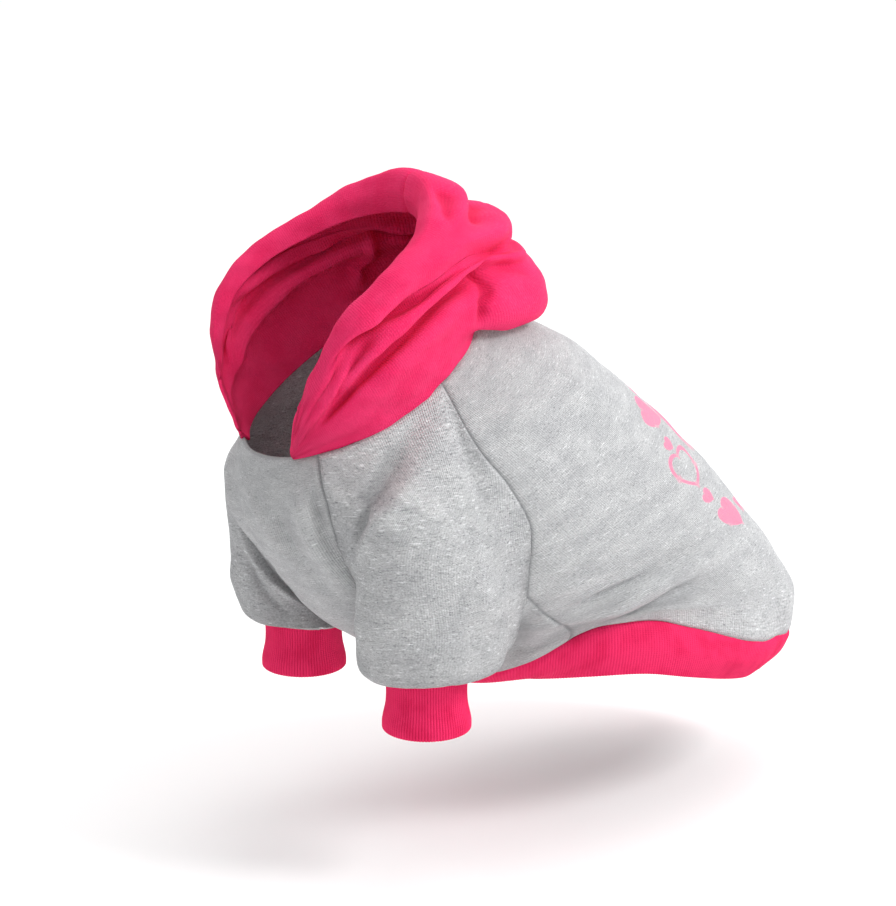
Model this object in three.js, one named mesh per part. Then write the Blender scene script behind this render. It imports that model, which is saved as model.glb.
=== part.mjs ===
// A hooded sweatshirt for a small dog, in the shape it has when its wearer sits.
// Grey fleece back and chest panels, two raglan sleeves, ribbed cuffs, a ribbed hem band
// and a two-piece jersey hood that lies folded down on the nape.
//
// Millimetres, +Z up. The wearer would face -X, so its left side is -Y.
// The origin is the point inside the back panel that hangs on the wearer's withers.
//
// Every piece is a sheet of cloth: a grid of points on its middle surface, thickened both ways
// along normals that neighbouring pieces share, so that two pieces meet squarely at a seam.

import * as THREE from 'three';

// Driving dimensions
const BACK_LENGTH = 300;
const CHEST_WIDTH = 166;
const SLEEVE_LENGTH = 100;
const SLEEVE_WIDTH = 98;
const CUFF_WIDTH = 43;
const CUFF_HEIGHT = 35;
const HEM_HEIGHT = 29;
const HOOD_HEIGHT = 66;
const FLEECE_THICKNESS = 1.8;
const RIB_THICKNESS = 1.8;
const JERSEY_THICKNESS = 1.6;
const SEAM_GAP = 0.4;
const FOLD_DEPTH = 5;
const FOLD_WIDTH = 9;

// How finely each stretch of the grid is divided
const ROWS_ABOVE_ARMPIT = 12;
const ROWS_BELOW_ARMPIT = 8;
const BACK_COLUMNS = 20;
const CHEST_COLUMNS = 12;
const NECK_COLUMNS_PER_SLEEVE = 6;
const SLEEVE_ROWS = 12;
const RIB_ROWS = 3;
const HOOD_ROWS_PER_COLUMN = 2;

// Places along the torso, as shares of the way from the neckline to the hem seam
const ARMPIT_ALONG = 0.64;
const CHEST_LEVEL_WITH_ARMPIT = 0.86;
const CHEST_ROW_BEND = 6;
const WITHERS_ALONG = 0.06;

// Horizontal slices through the torso. X and Z of the mid-front and mid-back points and the
// rise of the sides are shares of BACK_LENGTH, and the width is a share of CHEST_WIDTH.
const TORSO_SLICES = [
  { along: 0.00, frontX: -0.541, frontZ: 0.076, backX: -0.120, backZ: 0.333, width: 0.711, rise: -0.023 },
  { along: 0.15, frontX: -0.557, frontZ: 0.003, backX: -0.014, backZ: 0.267, width: 0.850, rise: -0.010 },
  { along: 0.30, frontX: -0.537, frontZ: -0.077, backX: 0.107, backZ: 0.198, width: 0.952, rise: 0.000 },
  { along: 0.45, frontX: -0.481, frontZ: -0.163, backX: 0.220, backZ: 0.110, width: 0.996, rise: 0.000 },
  { along: 0.60, frontX: -0.407, frontZ: -0.247, backX: 0.333, backZ: 0.013, width: 1.007, rise: 0.006 },
  { along: 0.75, frontX: -0.317, frontZ: -0.310, backX: 0.447, backZ: -0.103, width: 0.996, rise: 0.020 },
  { along: 0.88, frontX: -0.237, frontZ: -0.340, backX: 0.555, backZ: -0.232, width: 0.980, rise: 0.050 },
  { along: 0.96, frontX: -0.200, frontZ: -0.345, backX: 0.628, backZ: -0.350, width: 0.958, rise: 0.080 },
  { along: 1.00, frontX: -0.187, frontZ: -0.337, backX: 0.655, backZ: -0.460, width: 0.937, rise: 0.092 },
];

// The hem band below the seam, as offsets from the torso's last slice in shares of HEM_HEIGHT
const HEM_SLICES = [
  { along: 0.0, frontX: 0.00, frontZ: 0.00, backX: 0.00, backZ: 0.00, widen: 0.00, rise: 0.00 },
  { along: 0.5, frontX: 0.40, frontZ: -0.25, backX: -0.05, backZ: -0.50, widen: 0.13, rise: -0.06 },
  { along: 1.0, frontX: 0.80, frontZ: -0.55, backX: -0.40, backZ: -0.92, widen: 0.08, rise: -0.12 },
];

// The seams between the back, the sleeves and the chest, in degrees round from the mid-back.
// down runs from the neckline to the armpit, and turn is where the seam's point lies round the
// sleeve, in degrees from the rear, turning outwards. The front seam dips under the leg before
// it climbs to the armpit, and middle is where the chest's row from that point crosses the
// middle of the chest.
const BACK_SEAM = [
  { down: 0.00, along: 0.00, around: 80, turn: 78 },
  { down: 0.24, along: 0.15, around: 87, turn: 66 },
  { down: 0.40, along: 0.25, around: 91, turn: 57 },
  { down: 0.56, along: 0.36, around: 93, turn: 47 },
  { down: 0.74, along: 0.47, around: 97, turn: 35 },
  { down: 1.00, along: ARMPIT_ALONG, around: 113, turn: 18 },
];
const FRONT_SEAM = [
  { down: 0.00, along: 0.00, around: 142, turn: 148, middle: 0.00 },
  { down: 0.12, along: 0.17, around: 142, turn: 174, middle: 0.13 },
  { down: 0.22, along: 0.29, around: 145, turn: 198, middle: 0.24 },
  { down: 0.35, along: 0.43, around: 148, turn: 222, middle: 0.40 },
  { down: 0.48, along: 0.56, around: 151, turn: 244, middle: 0.54 },
  { down: 0.60, along: 0.67, around: 151, turn: 267, middle: 0.66 },
  { down: 0.71, along: 0.75, around: 150, turn: 293, middle: 0.745 },
  { down: 0.80, along: 0.785, around: 141, turn: 321, middle: 0.79 },
  { down: 0.90, along: 0.75, around: 127, turn: 352, middle: 0.825 },
  { down: 1.00, along: ARMPIT_ALONG, around: 113, turn: 378, middle: CHEST_LEVEL_WITH_ARMPIT },
];
const SIDE_SEAM = [
  { along: ARMPIT_ALONG, around: 113 },
  { along: 0.82, around: 118 },
  { along: 1.00, around: 127 },
];

// Sections of a sleeve below its armhole. The centre's X is a share of BACK_LENGTH, its distance
// from the middle of the body a share of CHEST_WIDTH, and the length and width shares of
// SLEEVE_WIDTH. The drop and the lean, by which the outer rear side stands above the centre, are
// shares of SLEEVE_LENGTH. The cuff seam follows, drawn up a little inside the fold above it.
const SLEEVE_SECTIONS = [
  { along: 0.36, x: -0.317, out: 0.385, drop: 0.42, lean: 0.48, length: 0.94, width: 0.55 },
  { along: 0.62, x: -0.320, out: 0.373, drop: 0.66, lean: 0.17, length: 0.88, width: 0.57 },
  { along: 0.80, x: -0.320, out: 0.364, drop: 0.76, lean: 0.06, length: 0.79, width: 0.61 },
  { along: 0.92, x: -0.323, out: 0.361, drop: 0.785, lean: 0.01, length: 0.68, width: 0.60 },
];
const CUFF_SEAM = { along: 1.00, x: -0.330, out: 0.364, drop: 0.76, lean: 0 };
const SLEEVE_LEAN_TURN = 46;
const SLEEVE_TOP_HEIGHT = -0.047;

// Sections of a cuff below its seam, in shares of CUFF_HEIGHT and CUFF_WIDTH
const CUFF_SECTIONS = [
  { along: 0.0, drop: 0.00, width: 1.00 },
  { along: 0.5, drop: 0.50, width: 0.97 },
  { along: 1.0, drop: 1.00, width: 1.04 },
];

// Folds of the torso's cloth, each a straight line between two places on it. A fold stands out by
// a share of FOLD_DEPTH, or sinks in when negative, and fades to both sides over a share of
// FOLD_WIDTH.
const TORSO_FOLDS = [
  { fromAround: 112, fromAlong: 0.76, toAround: 74, toAlong: 0.77, depth: -0.45, width: 1.05 },
  { fromAround: 106, fromAlong: 0.92, toAround: 82, toAlong: 0.88, depth: -0.35, width: 1.00 },
  { fromAround: 110, fromAlong: 0.85, toAround: 74, toAlong: 0.82, depth: 0.30, width: 1.00 },
  { fromAround: 106, fromAlong: 0.68, toAround: 80, toAlong: 0.69, depth: 0.20, width: 1.10 },
  { fromAround: 121, fromAlong: 0.86, toAround: 134, toAlong: 0.92, depth: -0.60, width: 1.00 },
  { fromAround: 152, fromAlong: 0.12, toAround: 154, toAlong: 0.44, depth: 0.60, width: 0.80 },
  { fromAround: 163, fromAlong: 0.16, toAround: 165, toAlong: 0.42, depth: -0.45, width: 0.90 },
  { fromAround: 44, fromAlong: 0.97, toAround: 10, toAlong: 0.95, depth: 0.40, width: 0.80 },
];

// Folds of a sleeve's cloth, between places given by the turn round the sleeve and the place
// along it: the fold that falls from the shoulder, the hollow in front of it and the slack cloth
// behind.
const SLEEVE_FOLDS = [
  { fromTurn: 90, fromAlong: 0.12, toTurn: 152, toAlong: 0.30, depth: 0.40, width: 1.20 },
  { fromTurn: 122, fromAlong: 0.10, toTurn: 164, toAlong: 0.20, depth: -0.30, width: 1.10 },
  { fromTurn: 62, fromAlong: 0.22, toTurn: 40, toAlong: 0.52, depth: -0.30, width: 1.20 },
];
const SLEEVE_FOLD_FADE = 5;

// Gathers where a sleeve is drawn into its cuff: how many there are round the sleeve, and
// where they are deepest, as a share of FOLD_DEPTH
const GATHER_COUNT = 7;
const GATHER_DEPTH = 0.16;
const GATHER_START = 0.5;

// The hood's profile at several places round the neckline, in degrees from the mid-back. Each
// column is a point of the profile, from the seam to the free edge: how far it stands out from
// the neckline and how high above it, in shares of HOOD_HEIGHT.
const HOOD_PROFILE_COLUMNS = [
  'stand', 'under', 'heel', 'sag', 'bag', 'lowerCrease', 'ridge', 'upperCrease', 'roll', 'dip',
  'crest', 'brim', 'inner', 'edge',
];
const HOOD_PROFILES = [
  {
    around: 0,
    stand: [0.06, 0.02], under: [0.17, -0.23], heel: [0.33, -0.53], sag: [0.50, -0.48],
    bag: [0.56, -0.24], lowerCrease: [0.54, -0.08], ridge: [0.53, 0.01], upperCrease: [0.47, 0.08],
    roll: [0.56, 0.30], dip: [0.34, 0.57], crest: [0.31, 0.76], brim: [0.10, 1.00],
    inner: [-0.06, 0.92], edge: [-0.10, 0.76],
  },
  {
    around: 22,
    stand: [0.06, 0.02], under: [0.16, -0.19], heel: [0.31, -0.43], sag: [0.46, -0.38],
    bag: [0.52, -0.13], lowerCrease: [0.48, 0.04], ridge: [0.48, 0.12], upperCrease: [0.38, 0.20],
    roll: [0.48, 0.40], dip: [0.29, 0.61], crest: [0.28, 0.80], brim: [0.09, 1.00],
    inner: [-0.06, 0.93], edge: [-0.11, 0.78],
  },
  {
    around: 42,
    stand: [0.05, 0.03], under: [0.12, -0.07], heel: [0.19, -0.17], sag: [0.30, -0.08],
    bag: [0.32, 0.18], lowerCrease: [0.17, 0.41], ridge: [0.29, 0.48], upperCrease: [0.19, 0.56],
    roll: [0.29, 0.68], dip: [0.23, 0.78], crest: [0.20, 0.88], brim: [0.09, 1.00],
    inner: [-0.05, 0.97], edge: [-0.12, 0.84],
  },
  {
    around: 60,
    stand: [0.04, 0.07], under: [0.08, 0.11], heel: [0.12, 0.17], sag: [0.16, 0.27],
    bag: [0.17, 0.40], lowerCrease: [0.07, 0.54], ridge: [0.18, 0.63], upperCrease: [0.09, 0.72],
    roll: [0.17, 0.82], dip: [0.15, 0.90], crest: [0.10, 0.96], brim: [0.03, 1.00],
    inner: [-0.05, 0.97], edge: [-0.11, 0.88],
  },
  {
    around: 82,
    stand: [0.03, 0.09], under: [0.07, 0.18], heel: [0.10, 0.28], sag: [0.12, 0.38],
    bag: [0.12, 0.48], lowerCrease: [0.04, 0.60], ridge: [0.14, 0.71], upperCrease: [0.05, 0.83],
    roll: [0.12, 0.91], dip: [0.11, 0.97], crest: [0.07, 1.02], brim: [0.01, 1.04],
    inner: [-0.05, 1.00], edge: [-0.09, 0.92],
  },
  {
    around: 104,
    stand: [0.02, 0.09], under: [0.05, 0.17], heel: [0.08, 0.26], sag: [0.10, 0.36],
    bag: [0.09, 0.46], lowerCrease: [0.03, 0.56], ridge: [0.11, 0.66], upperCrease: [0.04, 0.78],
    roll: [0.09, 0.85], dip: [0.08, 0.91], crest: [0.05, 0.95], brim: [0.00, 0.97],
    inner: [-0.04, 0.94], edge: [-0.07, 0.87],
  },
  {
    around: 122,
    stand: [0.01, 0.07], under: [0.03, 0.13], heel: [0.05, 0.20], sag: [0.06, 0.27],
    bag: [0.06, 0.34], lowerCrease: [0.02, 0.42], ridge: [0.07, 0.49], upperCrease: [0.04, 0.57],
    roll: [0.06, 0.62], dip: [0.05, 0.67], crest: [0.03, 0.71], brim: [0.00, 0.73],
    inner: [-0.02, 0.71], edge: [-0.03, 0.66],
  },
  {
    around: 142,
    stand: [0.00, 0.04], under: [0.01, 0.07], heel: [0.02, 0.10], sag: [0.02, 0.13],
    bag: [0.02, 0.16], lowerCrease: [0.01, 0.19], ridge: [0.02, 0.22], upperCrease: [0.02, 0.25],
    roll: [0.02, 0.28], dip: [0.01, 0.30], crest: [0.01, 0.32], brim: [0.00, 0.34],
    inner: [0.00, 0.36], edge: [0.00, 0.37],
  },
  {
    around: 158,
    stand: [0.00, 0.01], under: [0.00, 0.02], heel: [0.00, 0.03], sag: [0.00, 0.04],
    bag: [0.00, 0.05], lowerCrease: [0.00, 0.06], ridge: [0.00, 0.07], upperCrease: [0.00, 0.08],
    roll: [0.00, 0.09], dip: [0.00, 0.10], crest: [0.00, 0.11], brim: [0.00, 0.12],
    inner: [0.00, 0.13], edge: [0.00, 0.14],
  },
];
const HOOD_TIP_AROUND = 158;
const HOOD_TIP_COLUMNS = 2;

const FLEECE = new THREE.MeshStandardMaterial({ color: 0xb9bcbe, roughness: 0.95, metalness: 0 });
const JERSEY = new THREE.MeshStandardMaterial({ color: 0xf4376b, roughness: 0.9, metalness: 0 });
const RIB = new THREE.MeshStandardMaterial({ color: 0xf0245f, roughness: 0.9, metalness: 0 });

const LAST_ROW = ROWS_ABOVE_ARMPIT + ROWS_BELOW_ARMPIT;
const LEFT = -1;
const RIGHT = 1;

// The value of a table's column at a place between its rows, along a smooth curve
// through the rows (cubic Hermite spans with finite-difference slopes).
function smooth(places, values, at) {
  const last = places.length - 1;
  const clamped = Math.min(Math.max(at, places[0]), places[last]);
  let span = 0;
  while (span < last - 1 && clamped > places[span + 1]) span += 1;
  const slope = (i) => {
    const before = Math.max(i - 1, 0);
    const after = Math.min(i + 1, last);
    return (values[after] - values[before]) / (places[after] - places[before]);
  };
  const width = places[span + 1] - places[span];
  const s = (clamped - places[span]) / width;
  const rise = s * s * (3 - 2 * s);
  return values[span] * (1 - rise) + values[span + 1] * rise
    + slope(span) * width * s * (1 - s) * (1 - s)
    - slope(span + 1) * width * s * s * (1 - s);
}

function column(rows, name, at, placeName = 'along') {
  return smooth(rows.map((row) => row[placeName]), rows.map((row) => row[name]), at);
}

// A point on a slice of the torso or the hem band, at an angle round from the mid-back.
// side is LEFT or RIGHT.
function pointOnSlice(slice, around, side) {
  const angle = THREE.MathUtils.degToRad(around);
  const middleX = (slice.frontX + slice.backX) / 2;
  const middleZ = (slice.frontZ + slice.backZ) / 2;
  const reach = Math.cos(angle);
  const spread = Math.sin(angle);
  return new THREE.Vector3(
    middleX + (slice.backX - middleX) * reach,
    side * slice.halfWidth * spread,
    middleZ + (slice.backZ - middleZ) * reach + slice.rise * spread * spread,
  );
}

function torsoSlice(along) {
  return {
    frontX: column(TORSO_SLICES, 'frontX', along) * BACK_LENGTH,
    frontZ: column(TORSO_SLICES, 'frontZ', along) * BACK_LENGTH,
    backX: column(TORSO_SLICES, 'backX', along) * BACK_LENGTH,
    backZ: column(TORSO_SLICES, 'backZ', along) * BACK_LENGTH,
    halfWidth: column(TORSO_SLICES, 'width', along) * CHEST_WIDTH / 2,
    rise: column(TORSO_SLICES, 'rise', along) * BACK_LENGTH,
  };
}

// The direction in which a slice faces at an angle round it.
function outwardFromSlice(slice, around, side) {
  const angle = THREE.MathUtils.degToRad(around);
  const reach = new THREE.Vector3(slice.backX - slice.frontX, 0, slice.backZ - slice.frontZ);
  const halfReach = reach.length() / 2;
  return reach.normalize().multiplyScalar(Math.cos(angle) / halfReach)
    .add(new THREE.Vector3(0, side * Math.sin(angle) / slice.halfWidth, 0)).normalize();
}

// How far a fold between two places lifts the cloth at a third one, all in mm on the cloth.
// It fades with the distance from the line between the two like a bell curve.
function foldLift(fold, from, to, at) {
  const line = to.clone().sub(from);
  const share = Math.min(Math.max(at.clone().sub(from).dot(line) / line.lengthSq(), 0), 1);
  const distance = at.distanceTo(from.clone().addScaledVector(line, share));
  return fold.depth * FOLD_DEPTH * Math.exp(-((distance / (fold.width * FOLD_WIDTH)) ** 2));
}

function torsoLift(around, along) {
  const place = (angle, share) => new THREE.Vector2(
    THREE.MathUtils.degToRad(angle) * CHEST_WIDTH / 2,
    share * BACK_LENGTH,
  );
  const at = place(around, along);
  return TORSO_FOLDS.reduce((lift, fold) => lift + foldLift(
    fold,
    place(fold.fromAround, fold.fromAlong),
    place(fold.toAround, fold.toAlong),
    at,
  ), 0);
}

function torsoPoint(around, along, side) {
  const slice = torsoSlice(along);
  return pointOnSlice(slice, around, side)
    .addScaledVector(outwardFromSlice(slice, around, side), torsoLift(around, along));
}

function hemPoint(around, along, side) {
  const top = torsoSlice(1);
  const point = pointOnSlice({
    frontX: top.frontX + column(HEM_SLICES, 'frontX', along) * HEM_HEIGHT,
    frontZ: top.frontZ + column(HEM_SLICES, 'frontZ', along) * HEM_HEIGHT,
    backX: top.backX + column(HEM_SLICES, 'backX', along) * HEM_HEIGHT,
    backZ: top.backZ + column(HEM_SLICES, 'backZ', along) * HEM_HEIGHT,
    halfWidth: top.halfWidth + column(HEM_SLICES, 'widen', along) * HEM_HEIGHT,
    rise: top.rise + column(HEM_SLICES, 'rise', along) * HEM_HEIGHT,
  }, around, side);
  return point.addScaledVector(outwardFromSlice(top, around, side), torsoLift(around, 1));
}

// How far along the torso its rows lie at the armpit and below it, as shares from the armpit.
function rowShareBelow(row) {
  return (row - ROWS_ABOVE_ARMPIT) / ROWS_BELOW_ARMPIT;
}

// Where a row of the torso's grid meets a seam: its place along the torso and its angle.
// Above the armpit the row follows the sleeve's own seam, and below it the side seam.
function seamPlace(seam, row) {
  if (row <= ROWS_ABOVE_ARMPIT) {
    const down = row / ROWS_ABOVE_ARMPIT;
    return {
      along: column(seam, 'along', down, 'down'),
      around: column(seam, 'around', down, 'down'),
    };
  }
  const along = ARMPIT_ALONG + (1 - ARMPIT_ALONG) * rowShareBelow(row);
  return { along, around: column(SIDE_SEAM, 'around', along) };
}

function seamPoint(seam, row, side) {
  const { around, along } = seamPlace(seam, row);
  return torsoPoint(around, along, side);
}

// A grid of points, row by row from rows(row) and across from -1 to 1.
function grid(rowCount, columnCount, pointAt) {
  const rows = [];
  for (let row = 0; row <= rowCount; row += 1) {
    const points = [];
    for (let step = 0; step <= columnCount; step += 1) {
      points.push(pointAt(row, step));
    }
    rows.push(points);
  }
  return rows;
}

// The back's rows run straight across, at the height of the seam that they meet.
function backPanelGrid() {
  return grid(LAST_ROW, BACK_COLUMNS, (row, step) => {
    const across = (2 * step) / BACK_COLUMNS - 1;
    const { around, along } = seamPlace(BACK_SEAM, row);
    return torsoPoint(Math.abs(across) * around, along, across < 0 ? LEFT : RIGHT);
  });
}

// The chest's rows sag in the middle, because the sleeves lift them at the armpits.
function chestPanelGrid() {
  return grid(LAST_ROW, CHEST_COLUMNS, (row, step) => {
    const across = (2 * step) / CHEST_COLUMNS - 1;
    const { around, along } = seamPlace(FRONT_SEAM, row);
    const middle = row <= ROWS_ABOVE_ARMPIT
      ? column(FRONT_SEAM, 'middle', row / ROWS_ABOVE_ARMPIT, 'down')
      : CHEST_LEVEL_WITH_ARMPIT + (1 - CHEST_LEVEL_WITH_ARMPIT) * rowShareBelow(row);
    const place = middle + (along - middle) * Math.abs(across) ** CHEST_ROW_BEND;
    return torsoPoint(180 - Math.abs(across) * (180 - around), place, across < 0 ? LEFT : RIGHT);
  });
}

// The angles round the torso at which the neckline of one sleeve is divided.
function sleeveNeckAngle(step) {
  const from = BACK_SEAM[0].around;
  const to = FRONT_SEAM[0].around;
  return from + (to - from) * (step / NECK_COLUMNS_PER_SLEEVE);
}

// The armhole: from the armpit up the back seam, along the neckline and down the front seam.
// Each point comes with its turn round the sleeve.
function armholeRing(side) {
  const ring = [];
  const addSeamPoint = (seam, row) => {
    const turn = column(seam, 'turn', row / ROWS_ABOVE_ARMPIT, 'down');
    ring.push({ point: seamPoint(seam, row, side), turn });
  };
  for (let row = ROWS_ABOVE_ARMPIT; row > 0; row -= 1) addSeamPoint(BACK_SEAM, row);
  for (let step = 0; step < NECK_COLUMNS_PER_SLEEVE; step += 1) {
    const share = step / NECK_COLUMNS_PER_SLEEVE;
    const turn = BACK_SEAM[0].turn + (FRONT_SEAM[0].turn - BACK_SEAM[0].turn) * share;
    ring.push({ point: torsoPoint(sleeveNeckAngle(step), 0, side), turn });
  }
  for (let row = 0; row < ROWS_ABOVE_ARMPIT; row += 1) addSeamPoint(FRONT_SEAM, row);
  return ring;
}

// The sleeve's sections with their half length and half width in mm, the cuff seam last.
function sleeveSections() {
  const sections = SLEEVE_SECTIONS.map((section) => ({
    ...section,
    halfLength: section.length * SLEEVE_WIDTH / 2,
    halfWidth: section.width * SLEEVE_WIDTH / 2,
  }));
  return [...sections, { ...CUFF_SEAM, halfLength: CUFF_WIDTH / 2, halfWidth: CUFF_WIDTH / 2 }];
}

function pointOnSleeveSection(section, turn, side) {
  const angle = THREE.MathUtils.degToRad(turn);
  const drop = section.drop
    - section.lean * Math.sin(THREE.MathUtils.degToRad(turn - SLEEVE_LEAN_TURN));
  return new THREE.Vector3(
    section.x * BACK_LENGTH + section.halfLength * Math.cos(angle),
    side * (section.out * CHEST_WIDTH + section.halfWidth * Math.sin(angle)),
    SLEEVE_TOP_HEIGHT * BACK_LENGTH - drop * SLEEVE_LENGTH,
  );
}

// How far the sleeve's folds and gathers lift its cloth. They fade out at both seams.
function sleeveLift(turn, along) {
  const place = (angle, share) => new THREE.Vector2(
    THREE.MathUtils.degToRad(angle) * SLEEVE_WIDTH / 2,
    share * SLEEVE_LENGTH,
  );
  const at = place(turn, along);
  const folds = SLEEVE_FOLDS.reduce((lift, fold) => lift + foldLift(
    fold,
    place(fold.fromTurn, fold.fromAlong),
    place(fold.toTurn, fold.toAlong),
    at,
  ), 0);
  const drawn = Math.sin(Math.PI * Math.max(along - GATHER_START, 0) / (1 - GATHER_START));
  const wave = Math.cos(THREE.MathUtils.degToRad(turn) * GATHER_COUNT);
  const fade = Math.min(1, along * SLEEVE_FOLD_FADE, (1 - along) * SLEEVE_FOLD_FADE);
  return fade * (folds + wave * drawn * GATHER_DEPTH * FOLD_DEPTH);
}

function sleeveGrid(side) {
  const ring = armholeRing(side);
  const sections = sleeveSections();
  const places = [0, ...sections.map((section) => section.along)];
  return grid(SLEEVE_ROWS, ring.length - 1, (row, step) => {
    const { point, turn } = ring[step];
    const stops = [point, ...sections.map((s) => pointOnSleeveSection(s, turn, side))];
    const along = row / SLEEVE_ROWS;
    const angle = THREE.MathUtils.degToRad(turn);
    const lift = sleeveLift(turn, along);
    return new THREE.Vector3(
      smooth(places, stops.map((p) => p.x), along) + lift * Math.cos(angle),
      smooth(places, stops.map((p) => p.y), along) + lift * side * Math.sin(angle),
      smooth(places, stops.map((p) => p.z), along),
    );
  });
}

function cuffGrid(side) {
  const ring = armholeRing(side);
  const seam = sleeveSections().pop();
  return grid(RIB_ROWS, ring.length - 1, (row, step) => {
    const along = row / RIB_ROWS;
    const top = pointOnSleeveSection(seam, ring[step].turn, side);
    const centre = pointOnSleeveSection({ ...seam, halfLength: 0, halfWidth: 0 }, 0, side);
    const widened = top.sub(centre).multiplyScalar(column(CUFF_SECTIONS, 'width', along));
    const drop = column(CUFF_SECTIONS, 'drop', along) * CUFF_HEIGHT;
    return centre.add(widened).add(new THREE.Vector3(0, 0, -drop));
  });
}

function hemBandGrid() {
  const hemAngle = seamPlace(BACK_SEAM, LAST_ROW).around;
  const stops = [];
  for (let step = 0; step < BACK_COLUMNS; step += 1) {
    stops.push((2 * step / BACK_COLUMNS - 1) * hemAngle);
  }
  for (let step = 0; step < CHEST_COLUMNS; step += 1) {
    stops.push(hemAngle + (360 - 2 * hemAngle) * (step / CHEST_COLUMNS));
  }
  return grid(RIB_ROWS, stops.length - 1, (row, step) => {
    const turned = stops[step] > 180 ? stops[step] - 360 : stops[step];
    return hemPoint(Math.abs(turned), row / RIB_ROWS, turned < 0 ? LEFT : RIGHT);
  });
}

// The angles round the neckline at which the hood is divided: from the mid-back to its tip.
function hoodNeckAngles() {
  const angles = [];
  const backAngle = BACK_SEAM[0].around;
  for (let step = 0; step <= BACK_COLUMNS / 2; step += 1) {
    angles.push(backAngle * step / (BACK_COLUMNS / 2));
  }
  for (let step = 1; step <= NECK_COLUMNS_PER_SLEEVE; step += 1) angles.push(sleeveNeckAngle(step));
  for (let step = 1; step <= HOOD_TIP_COLUMNS; step += 1) {
    const from = FRONT_SEAM[0].around;
    angles.push(from + (HOOD_TIP_AROUND - from) * (step / HOOD_TIP_COLUMNS));
  }
  return angles;
}

function hoodGrid(side) {
  const slice = torsoSlice(0);
  const rearwards = outwardFromSlice(slice, 0, side);
  const upwards = new THREE.Vector3(-rearwards.z, 0, rearwards.x);
  const angles = hoodNeckAngles();
  const places = ['seam', ...HOOD_PROFILE_COLUMNS].map((name, i) => i);
  const rows = HOOD_ROWS_PER_COLUMN * HOOD_PROFILE_COLUMNS.length;
  const lift = FLEECE_THICKNESS / 2 + SEAM_GAP;
  return grid(rows, angles.length - 1, (row, step) => {
    const around = angles[step];
    const outwards = outwardFromSlice(slice, around, side);
    const at = row / HOOD_ROWS_PER_COLUMN;
    const stops = HOOD_PROFILE_COLUMNS.map((name) => [0, 1].map((axis) => smooth(
      HOOD_PROFILES.map((profile) => profile.around),
      HOOD_PROFILES.map((profile) => profile[name][axis]),
      around,
    )));
    const out = smooth(places, [0, ...stops.map((stop) => stop[0])], at) * HOOD_HEIGHT;
    const up = smooth(places, [0, ...stops.map((stop) => stop[1])], at) * HOOD_HEIGHT + lift;
    return torsoPoint(around, 0, side)
      .addScaledVector(outwards, out)
      .addScaledVector(upwards, up);
  });
}

const CLOTHS = {
  fleece: { thickness: FLEECE_THICKNESS, material: FLEECE },
  jersey: { thickness: JERSEY_THICKNESS, material: JERSEY },
  rib: { thickness: RIB_THICKNESS, material: RIB },
};
const ALL_SIDES = ['first', 'last', 'left', 'right'];

// Everything about one piece of cloth: its grid, whether the grid closes round on itself,
// whether rows times columns point inwards, and which of its sides meet another piece.
function pieceOfCloth(name, cloth, rows, { closed, flip, seams }) {
  return { name, rows, closed, flip, seams, ...CLOTHS[cloth] };
}

function pieces() {
  const all = [
    pieceOfCloth('back_panel', 'fleece', backPanelGrid(), { closed: false, flip: false, seams: ALL_SIDES }),
    pieceOfCloth('chest_panel', 'fleece', chestPanelGrid(), { closed: false, flip: true, seams: ALL_SIDES }),
    pieceOfCloth('hem_band', 'rib', hemBandGrid(), { closed: true, flip: false, seams: ['first'] }),
  ];
  for (const [name, side] of [['left', LEFT], ['right', RIGHT]]) {
    const flip = side === LEFT;
    const tube = { closed: true, flip, seams: ['first', 'last'] };
    const openTube = { closed: true, flip, seams: ['first'] };
    const hoodHalf = { closed: false, flip, seams: ['left'] };
    all.push(pieceOfCloth(`${name}_sleeve`, 'fleece', sleeveGrid(side), tube));
    all.push(pieceOfCloth(`${name}_cuff`, 'rib', cuffGrid(side), openTube));
    all.push(pieceOfCloth(`${name}_hood`, 'jersey', hoodGrid(side), hoodHalf));
  }
  return all;
}

const keyOf = (point) => point.toArray().map((value) => Math.round(value * 1000)).join(',');

// The neighbour of a grid point, or nothing past an open side.
function neighbour(piece, row, step) {
  const columns = piece.rows[0].length;
  const points = piece.rows[row];
  if (!points) return undefined;
  return piece.closed ? points[(step + columns) % columns] : points[step];
}

// The cloth's outward normal at a grid point from this piece's own points alone.
function ownNormal(piece, row, step) {
  const here = piece.rows[row][step];
  const down = (neighbour(piece, row + 1, step) ?? here).clone()
    .sub(neighbour(piece, row - 1, step) ?? here);
  const across = (neighbour(piece, row, step + 1) ?? here).clone()
    .sub(neighbour(piece, row, step - 1) ?? here);
  const normal = down.normalize().cross(across.normalize()).normalize();
  return piece.flip ? normal.negate() : normal;
}

// One normal for each place, shared by all the pieces that are sewn together there.
function sharedNormals(all) {
  const shared = new Map();
  for (const piece of all) {
    piece.rows.forEach((points, row) => points.forEach((point, step) => {
      const key = keyOf(point);
      const sum = shared.get(key) ?? new THREE.Vector3();
      shared.set(key, sum.add(ownNormal(piece, row, step)));
    }));
  }
  return shared;
}

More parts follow.
